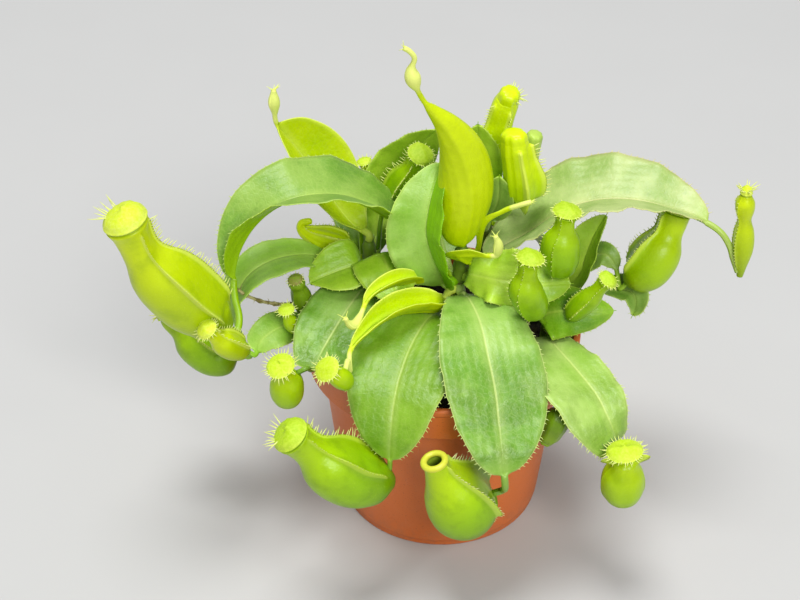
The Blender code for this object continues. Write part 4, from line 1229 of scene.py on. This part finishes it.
# each with its stem and the height and direction there, its route, the share of it that is
# blade, the blade's width and where it is widest
LEAVES = [
    # around the front of the main plant
    Leaf("front_centre", ("main", 80, -80), [(8, -9, 84), (11, -21, 84), (13, -32, 80), (15, -41, 74),
         (16, -49, 68), (17, -57, 61), (18, -60, 52)], (0.05, 0.795), 31.5, 0.55, (4, 4), blunt=0.48,
         up=(0.06, 0, 1), halves=(1.06, 1), seat=seat("open", 0.3, (1, 0.1, 0.4)), tendril=1.1,
         look="puckered"),
    Leaf("front_left", ("main", 75, -125), [(-5, -14, 80), (-10, -24, 78), (-13.5, -34, 74.5),
         (-15.5, -42, 70), (-16.5, -48, 63), (-16.8, -50.5, 55), (-17, -51, 50)], (0.06, 0.95), 32, 0.5,
         (5, 5), blunt=0.58, halves=(1, 1.05), teeth=0.8),
    Leaf("young_front", ("main", 80, -130), [(-1.5, -9, 80.5), (-7.8, -12, 82), (-14, -16, 84),
         (-20.3, -21, 84), (-25, -26, 83), (-29, -32, 81.5), (-29, -38, 78.5)], (0.10, 0.78), 16, 0.42,
         (48, 48), (30, 30), (0, -0.3, 1), look="young", seat=seat("front_spiky", 0.3, (0.5, 1, 0.2)),
         teeth=0.5, wave=0.02, blunt=0.7),
    Leaf("young_partner", ("main", 81, 175), [(-5, 1, 84), (-12, -5, 88), (-18.4, -12, 91),
         (-23.5, -17, 90.5), (-26, -22, 87.5), (-27.5, -25, 86.5), (-29.3, -27, 88), (-30.5, -28, 91)],
         (0.2, 0.76), 10, 0.5, (48, 48), (30, 30), (0, -0.4, 1), look="young", teeth=0, bud=0.8,
         bud_place=(0.1, 0.9), crown=3, stalk=0.9, wave=0),
    Leaf("folded_upright", ("main", 82, -150), [(-0.5, 0, 87), (-3.5, -1, 95), (-5.6, 0, 104),
         (-4.4, 3, 113), (-2.4, 7, 119.3), (-0.5, 10, 124)], (0.06, 0.98), 27, 0.44, (0, 62), (12, 5),
         (-0.1, -0.8, 0.5), halves=(0.95, 0.82), turned=1, teeth=0.5, look="folded"),
    Leaf("tall_young", ("main", 95, None), [(6.0, 0, 99), (7.4, -2, 107), (8.2, -2.5, 115),
         (7.4, -2, 124), (4.6, -2, 133.5), (0.3, -2, 141.8), (-4.6, -2, 148.4), (-7.6, -2, 153.2),
         (-9.5, -3, 158.1), (-10.5, -3, 162.5), (-9.6, -3, 166.4), (-11, -3, 168.7), (-12.7, -3, 169.8)],
         (0.0, 0.80), 31, 0.36, cup=(95, 105), up=(-0.25, 1, 0), blunt=1.2, bud=1.6,
         bud_place=(0.05, 0.62), look="young", teeth=0.5, wave=0.0, crown=3, twist=30),
    Leaf("wavy_right", ("main", 84, -25), [(8, -2, 89), (12, -5, 90), (17.2, -8, 91), (24.5, -9, 91),
         (32, -9, 90), (40.5, -10, 91)], (0.14, 0.98), 18, up=(0, -0.75, 0.65), halves=(1.1, 0.9),
         wave=0.24, teeth=0.6, look="lush"),
    Leaf("sprout", ("main", 90, -40), [(4.5, -5, 98), (9.6, -7, 100), (13.9, -9, 100.8),
         (16.1, -9, 101.5), (16.5, -9, 105.2), (15.5, -9, 108.3)], (0.18, 0.74), 9, 0.5, (4, 4),
         up=(0, -0.6, 0.8), bud=0.8, bud_place=(0.05, 0.95), stalk=0.6, look="young", teeth=0, crown=3,
         blunt=0.7),
    Leaf("thin_sprout", ("main", 92, 15), [(12.7, 2, 105.5), (18.4, 0, 111.6), (23.3, -2, 115.1),
         (26.6, -2, 116.2)], (0.1, 0.8), 4.2, 0.5, (30, 30), stalk=0.9, look="young", teeth=0, crown=4),
    # the two great arching leaves
    Leaf("arch_left", ("main", 83, 135), [(-14.3, 14, 97), (-26.7, 11, 108), (-35.1, 8, 112.5),
         (-45.2, 4, 114), (-53, 2, 111.5), (-59.5, 0, 106), (-64, -3, 99), (-66, -6, 92), (-66, -9, 86),
         (-64.5, -13, 80)], (0.08, 0.84), 31, 0.44, (22, 22), close=45, seat=foot("big_left"),
         look="arching", teeth=0.8, tendril=1.2),
    Leaf("arch_right", ("main", 86, 35), [(19, 10, 91), (27.9, 10, 97), (34.8, 10, 102.8),
         (41.8, 10, 107), (51.7, 9, 110), (62.2, 7, 110.5), (72.8, 4, 109), (79.8, 1, 107.8),
         (85.5, -3, 106), (88.8, -4, 101.5), (90.6, -4, 96.5), (92.6, -4, 91.5)], (0.06, 0.80), 36, 0.48,
         (22, 22), close=10, look="pale_arching", tendril=1.0),
    # the left plant
    Leaf("left_front", ("left", 75, -80), [(-25, 4, 80), (-31, -8, 78.5), (-37, -19, 74), (-41, -26, 70)],
         (0.12, 0.86), 26, 0.52, (5, 5), up=(-0.1, -0.3, 1), blunt=0.5,
         seat=seat("left_round", 0.6, (1, 0.4, 0)), look="puckered"),
    Leaf("left_lower", ("left", 79, 175), [(-37, 14, 84), (-45, 10, 88), (-53, 5, 90), (-60, 1, 88.5),
         (-64.5, -1, 83.5), (-66.5, -2, 75), (-66, -3, 66), (-63, -4, 58)], (0.12, 0.80), 16, 0.44,
         (8, 8), close=35, tendril=1.0, up=(0, -0.2, 1), seat=foot("left_lower"), look="folded",
         teeth=0.8),
    Leaf("left_small", ("left", 67, -150), [(-37, 4, 69), (-46, -2, 70), (-53, -7, 71), (-58, -12, 70)],
         (0.45, 0.93), 12.5, up=(0, -0.6, 1), seat=foot("left_small"), look="folded", teeth=0.8),
    Leaf("young_left", ("left", 88, None), [(-30, 24, 91), (-38.2, 30, 99.7), (-44.1, 31, 109.7),
         (-49.2, 30, 119), (-53, 28, 126.3), (-53.5, 28, 131.8), (-53.5, 28, 138.6)], (0.06, 0.82), 29,
         0.55, (35, 15), (20, 10), (0.4, -0.6, 0.6), bud=1.1, bud_place=(0.25, 1.0), look="young",
         teeth=0, crown=8, wave=0.0),
    Leaf("mid_left", ("left", 79, -110), [(-27, 7, 86), (-33, 4, 86), (-39, 2, 84.5), (-43.5, -1, 84)],
         (0.10, 0.96), 19, 0.5, (18, 18), up=(0, -0.5, 1), look="lush", teeth=0.6),
    Leaf("mid_centre", ("left", 82, -40), [(-20, 8, 90), (-18.5, 3, 90), (-16, -5, 87.5), (-13, -12, 83)],
         (0.15, 0.96), 21, 0.45, (-8, -8), up=(0, -0.3, 1), look="lush", teeth=0.6),
    # the right plant
    Leaf("right_front", ("right", 66, -80), [(35, -15, 71), (41, -28, 71), (46.5, -38, 69),
         (49.5, -43, 65), (52.5, -44.5, 58), (54.5, -40, 50), (55, -38, 43)], (0.08, 0.76), 32, 0.52,
         (0, 12), blunt=0.5, halves=(0.55, 1), up=(-0.15, 0, 1),
         seat=seat("front_right", 0.12, (0, 1, 0.2)), look="light_green"),
    Leaf("right_low", ("right", 71, -55), [(30.5, -9, 77), (34, -11, 80.5), (40, -12, 82),
         (47.5, -12, 81.5), (54.6, -10, 80.5)], (0.0, 0.98), 17.5, 0.5, (-8, -8), (-12, -12),
         up=(0, -0.75, 0.8), look="fresh_green", teeth=0.6, wave=0.05),
    Leaf("right_upright", ("right", 78, 35), [(44, 4, 85), (45.5, 5, 91), (48, 7, 98), (52, 9, 105)],
         (0.08, 0.97), 15, 0.5, (25, 25), (30, 30), up=(-0.5, -0.6, 0.5), look="lush", teeth=0.7),
    Leaf("right_small", ("right", 69, 25), [(48, 7, 75), (56, 6, 77.5), (61.5, 4, 77), (62.5, 1, 73.5),
         (61, -1, 70.5)], (0.45, 0.97), 11, 0.5, (25, 25), (20, 20), up=(-0.3, -0.5, 0.8), teeth=0.8,
         look="arching"),
    Leaf("right_pale", ("right", 72, 60), [(42, 12, 79), (48, 12, 85), (52, 9, 89), (55.5, 7, 86),
         (57, 5, 80)], (0.28, 0.80), 9, up=(0, -0.5, 1), seat=foot("right"), look="arching", teeth=0.5),
    # the back plant
    Leaf("back_right", ("back", 92, -150), [(10, 20, 101), (10.5, 20, 114), (10.5, 19, 125),
         (10.5, 18, 133)], (0.10, 0.97), 17, 0.55, (10, 10), up=(0, -0.8, 0.5), look="lush", teeth=0.6),
    Leaf("back_centre", ("left", 80, 65), [(-21, 33, 88), (-19, 36, 95), (-14, 38, 104), (-7, 36, 114),
         (-1, 33, 122)], (0.12, 0.97), 20, 0.5, (10, 10), up=(0.3, -0.7, 0.5), look="lush", teeth=0.6),
    Leaf("top_small", ("back", 92, -100), [(15, 17, 98), (17.3, 13, 107), (17.4, 11, 118)], (0.2, 0.97),
         11, 0.55, (10, 10), up=(0, -0.8, 0.5), look="arching", teeth=0),
    # leaves that hang over the rear of the pot
    Leaf("rear_left", ("left", 72, 95), [(-25, 30, 79), (-26, 41, 81), (-27, 53, 75), (-27, 61, 64),
         (-26, 63, 54)], (0.12, 0.80), 23, 0.5, (8, 8), blunt=0.5, bud=0.9, crown=5),
    Leaf("rear_centre", ("main", 76, 100), [(1, 18, 83), (-2, 32, 87), (-4, 46, 84), (-5, 58, 75),
         (-5, 64, 64), (-4, 65, 55)], (0.14, 0.82), 25, 0.5, (8, 8), blunt=0.5, bud=0.9, crown=5),
    Leaf("rear_right", ("back", 80, 40), [(22, 33, 80), (27, 41, 76), (32, 49, 70), (36, 56, 61),
         (38, 58, 52)], (0.12, 0.80), 22, 0.5, (8, 8), blunt=0.5, bud=0.9, crown=5),
]
for leaf in LEAVES:
    leaf.make(LEAF_FINISHES[leaf.look], "leaf_young" if leaf.look == "young" else "leaf_green")

# ---------------------------------------------------------------- dead tendril
# A dry brown tendril left by a withered trap: shrunk, knobbly and split into a few fibres.
DEAD_ROUTE = [(-36, 14, 69), (-46, 7, 71), (-54, 1, 75), (-61, -4, 81), (-67, -7, 88)]
DEAD_ROWS = 110
DEAD_SIDES = 10
DEAD_FIBRES = 22
KNOB_SPACING = 6.5


def paint_dead(place):
    streak = place.grain(1.2, 4, rough=0.7)
    knot = place.grain(2.6, 2).fade(0.42, 0.6)
    dry = streak.mix((0.32, 0.26, 0.08), (0.66, 0.60, 0.30))
    return {
        "Base Color": knot.mix(dry, (0.22, 0.17, 0.05)),
        "Roughness": 0.75 + 0.2 * streak,
        "Height": 0.25 * streak,
    }


def make_dead_tendril():
    rand = np.random.default_rng(3)
    skin = Skin()
    route = from_stem("left", 65, 170, TENDRIL_RADIUS) + DEAD_ROUTE
    rows = np.linspace(0, 1, DEAD_ROWS)
    points, length = curve(route, rows)
    tangents, normals, sides = frames(points, (0, 0, 1), 0)
    turns = angles(DEAD_SIDES)
    rings = []
    for t, centre, normal, side in zip(rows, points, normals, sides):
        at = t * length
        knob = 0.30 * hump(at % KNOB_SPACING - 3.2, 0.8)
        radius = 0.62 + knob + 0.12 * noise.noise(Vector((at, 0, 0))) - 0.15 * t
        reach = radius * (1 + 0.15 * np.sin(3 * turns + at))
        sway = 0.25 * noise.noise(Vector((0.5 * at, 3, 0)))
        rings.append(centre + sway * side + around(turns, reach, normal, side))
    skin.tube(np.array(rings))
    for _ in range(DEAD_FIBRES):
        k = rand.integers(20, 105)
        out = unit(np.cross(tangents[k], rand.normal(size=3)))
        skin.spine(points[k] + 0.4 * out, out + rand.uniform(-1, 1) * tangents[k],
                   rand.uniform(0.5, 1.8), 0.16, bend=0.4 * rand.normal(size=3))
    skin.piece("dead_tendril_husk", "dead_tendril", "dead_tendril",
               finish("dry_tendril", paint_dead))


make_dead_tendril()

# ---------------------------------------------------------------- floor, light and camera
# A plain pale floor under soft studio light: a broad lamp overhead, a weaker one from the
# right, and an even pale surround. The camera looks down from the front.
FLOOR_REACH = 4
LAMP_AIM = (0, 0, 0.08)
LAMPS = {
    "overhead": ((-0.22, 0.0, 2.30), 1.0, 37, (1.0, 1.0, 1.0)),
    "front_fill": ((0.6, -1.75, 1.6), 0.9, 33, (1.0, 0.99, 0.97)),
}
SURROUND_COLOUR = (0.93, 0.95, 1.0, 1)
SURROUND_STRENGTH = 0.36
CAMERA_PLACE = (-0.0138, -0.4436, 0.4043)
CAMERA_TILT = 53.6
CAMERA_LENS = 77
CAMERA_SENSOR = 36


def paint_floor(place):
    return {"Base Color": place.grain(60, 2).mix((0.53, 0.53, 0.52), (0.55, 0.55, 0.54)),
            "Roughness": 0.9}


floor_mesh = bpy.data.meshes.new("floor")
floor_corners = [(-FLOOR_REACH, -FLOOR_REACH, 0), (FLOOR_REACH, -FLOOR_REACH, 0),
                 (FLOOR_REACH, FLOOR_REACH, 0), (-FLOOR_REACH, FLOOR_REACH, 0)]
floor_mesh.from_pydata(floor_corners, [], [(0, 1, 2, 3)])
floor_mesh.materials.append(finish("pale_floor", paint_floor))
floor = in_scene("floor", floor_mesh)

for lamp_name, (lamp_place, size, power, colour) in LAMPS.items():
    lamp_data = bpy.data.lights.new(lamp_name, "AREA")
    lamp_data.shape = "DISK"
    lamp_data.size = size
    lamp_data.energy = power
    lamp_data.color = colour
    lamp = in_scene(lamp_name, lamp_data)
    lamp.location = lamp_place
    aim = Vector(LAMP_AIM) - Vector(lamp_place)
    lamp.rotation_euler = aim.to_track_quat("-Z", "Y").to_euler()

world = bpy.data.worlds.new("surround")
world.use_nodes = True
surround = world.node_tree.nodes["Background"].inputs
surround["Color"].default_value = SURROUND_COLOUR
surround["Strength"].default_value = SURROUND_STRENGTH
bpy.context.scene.world = world
bpy.context.scene.view_settings.view_transform = "Standard"

camera_data = bpy.data.cameras.new("camera")
camera_data.lens = CAMERA_LENS
camera_data.sensor_width = CAMERA_SENSOR
camera = in_scene("camera", camera_data)
camera.location = CAMERA_PLACE
camera.rotation_euler = (math.radians(CAMERA_TILT), 0, 0)
bpy.context.scene.camera = camera
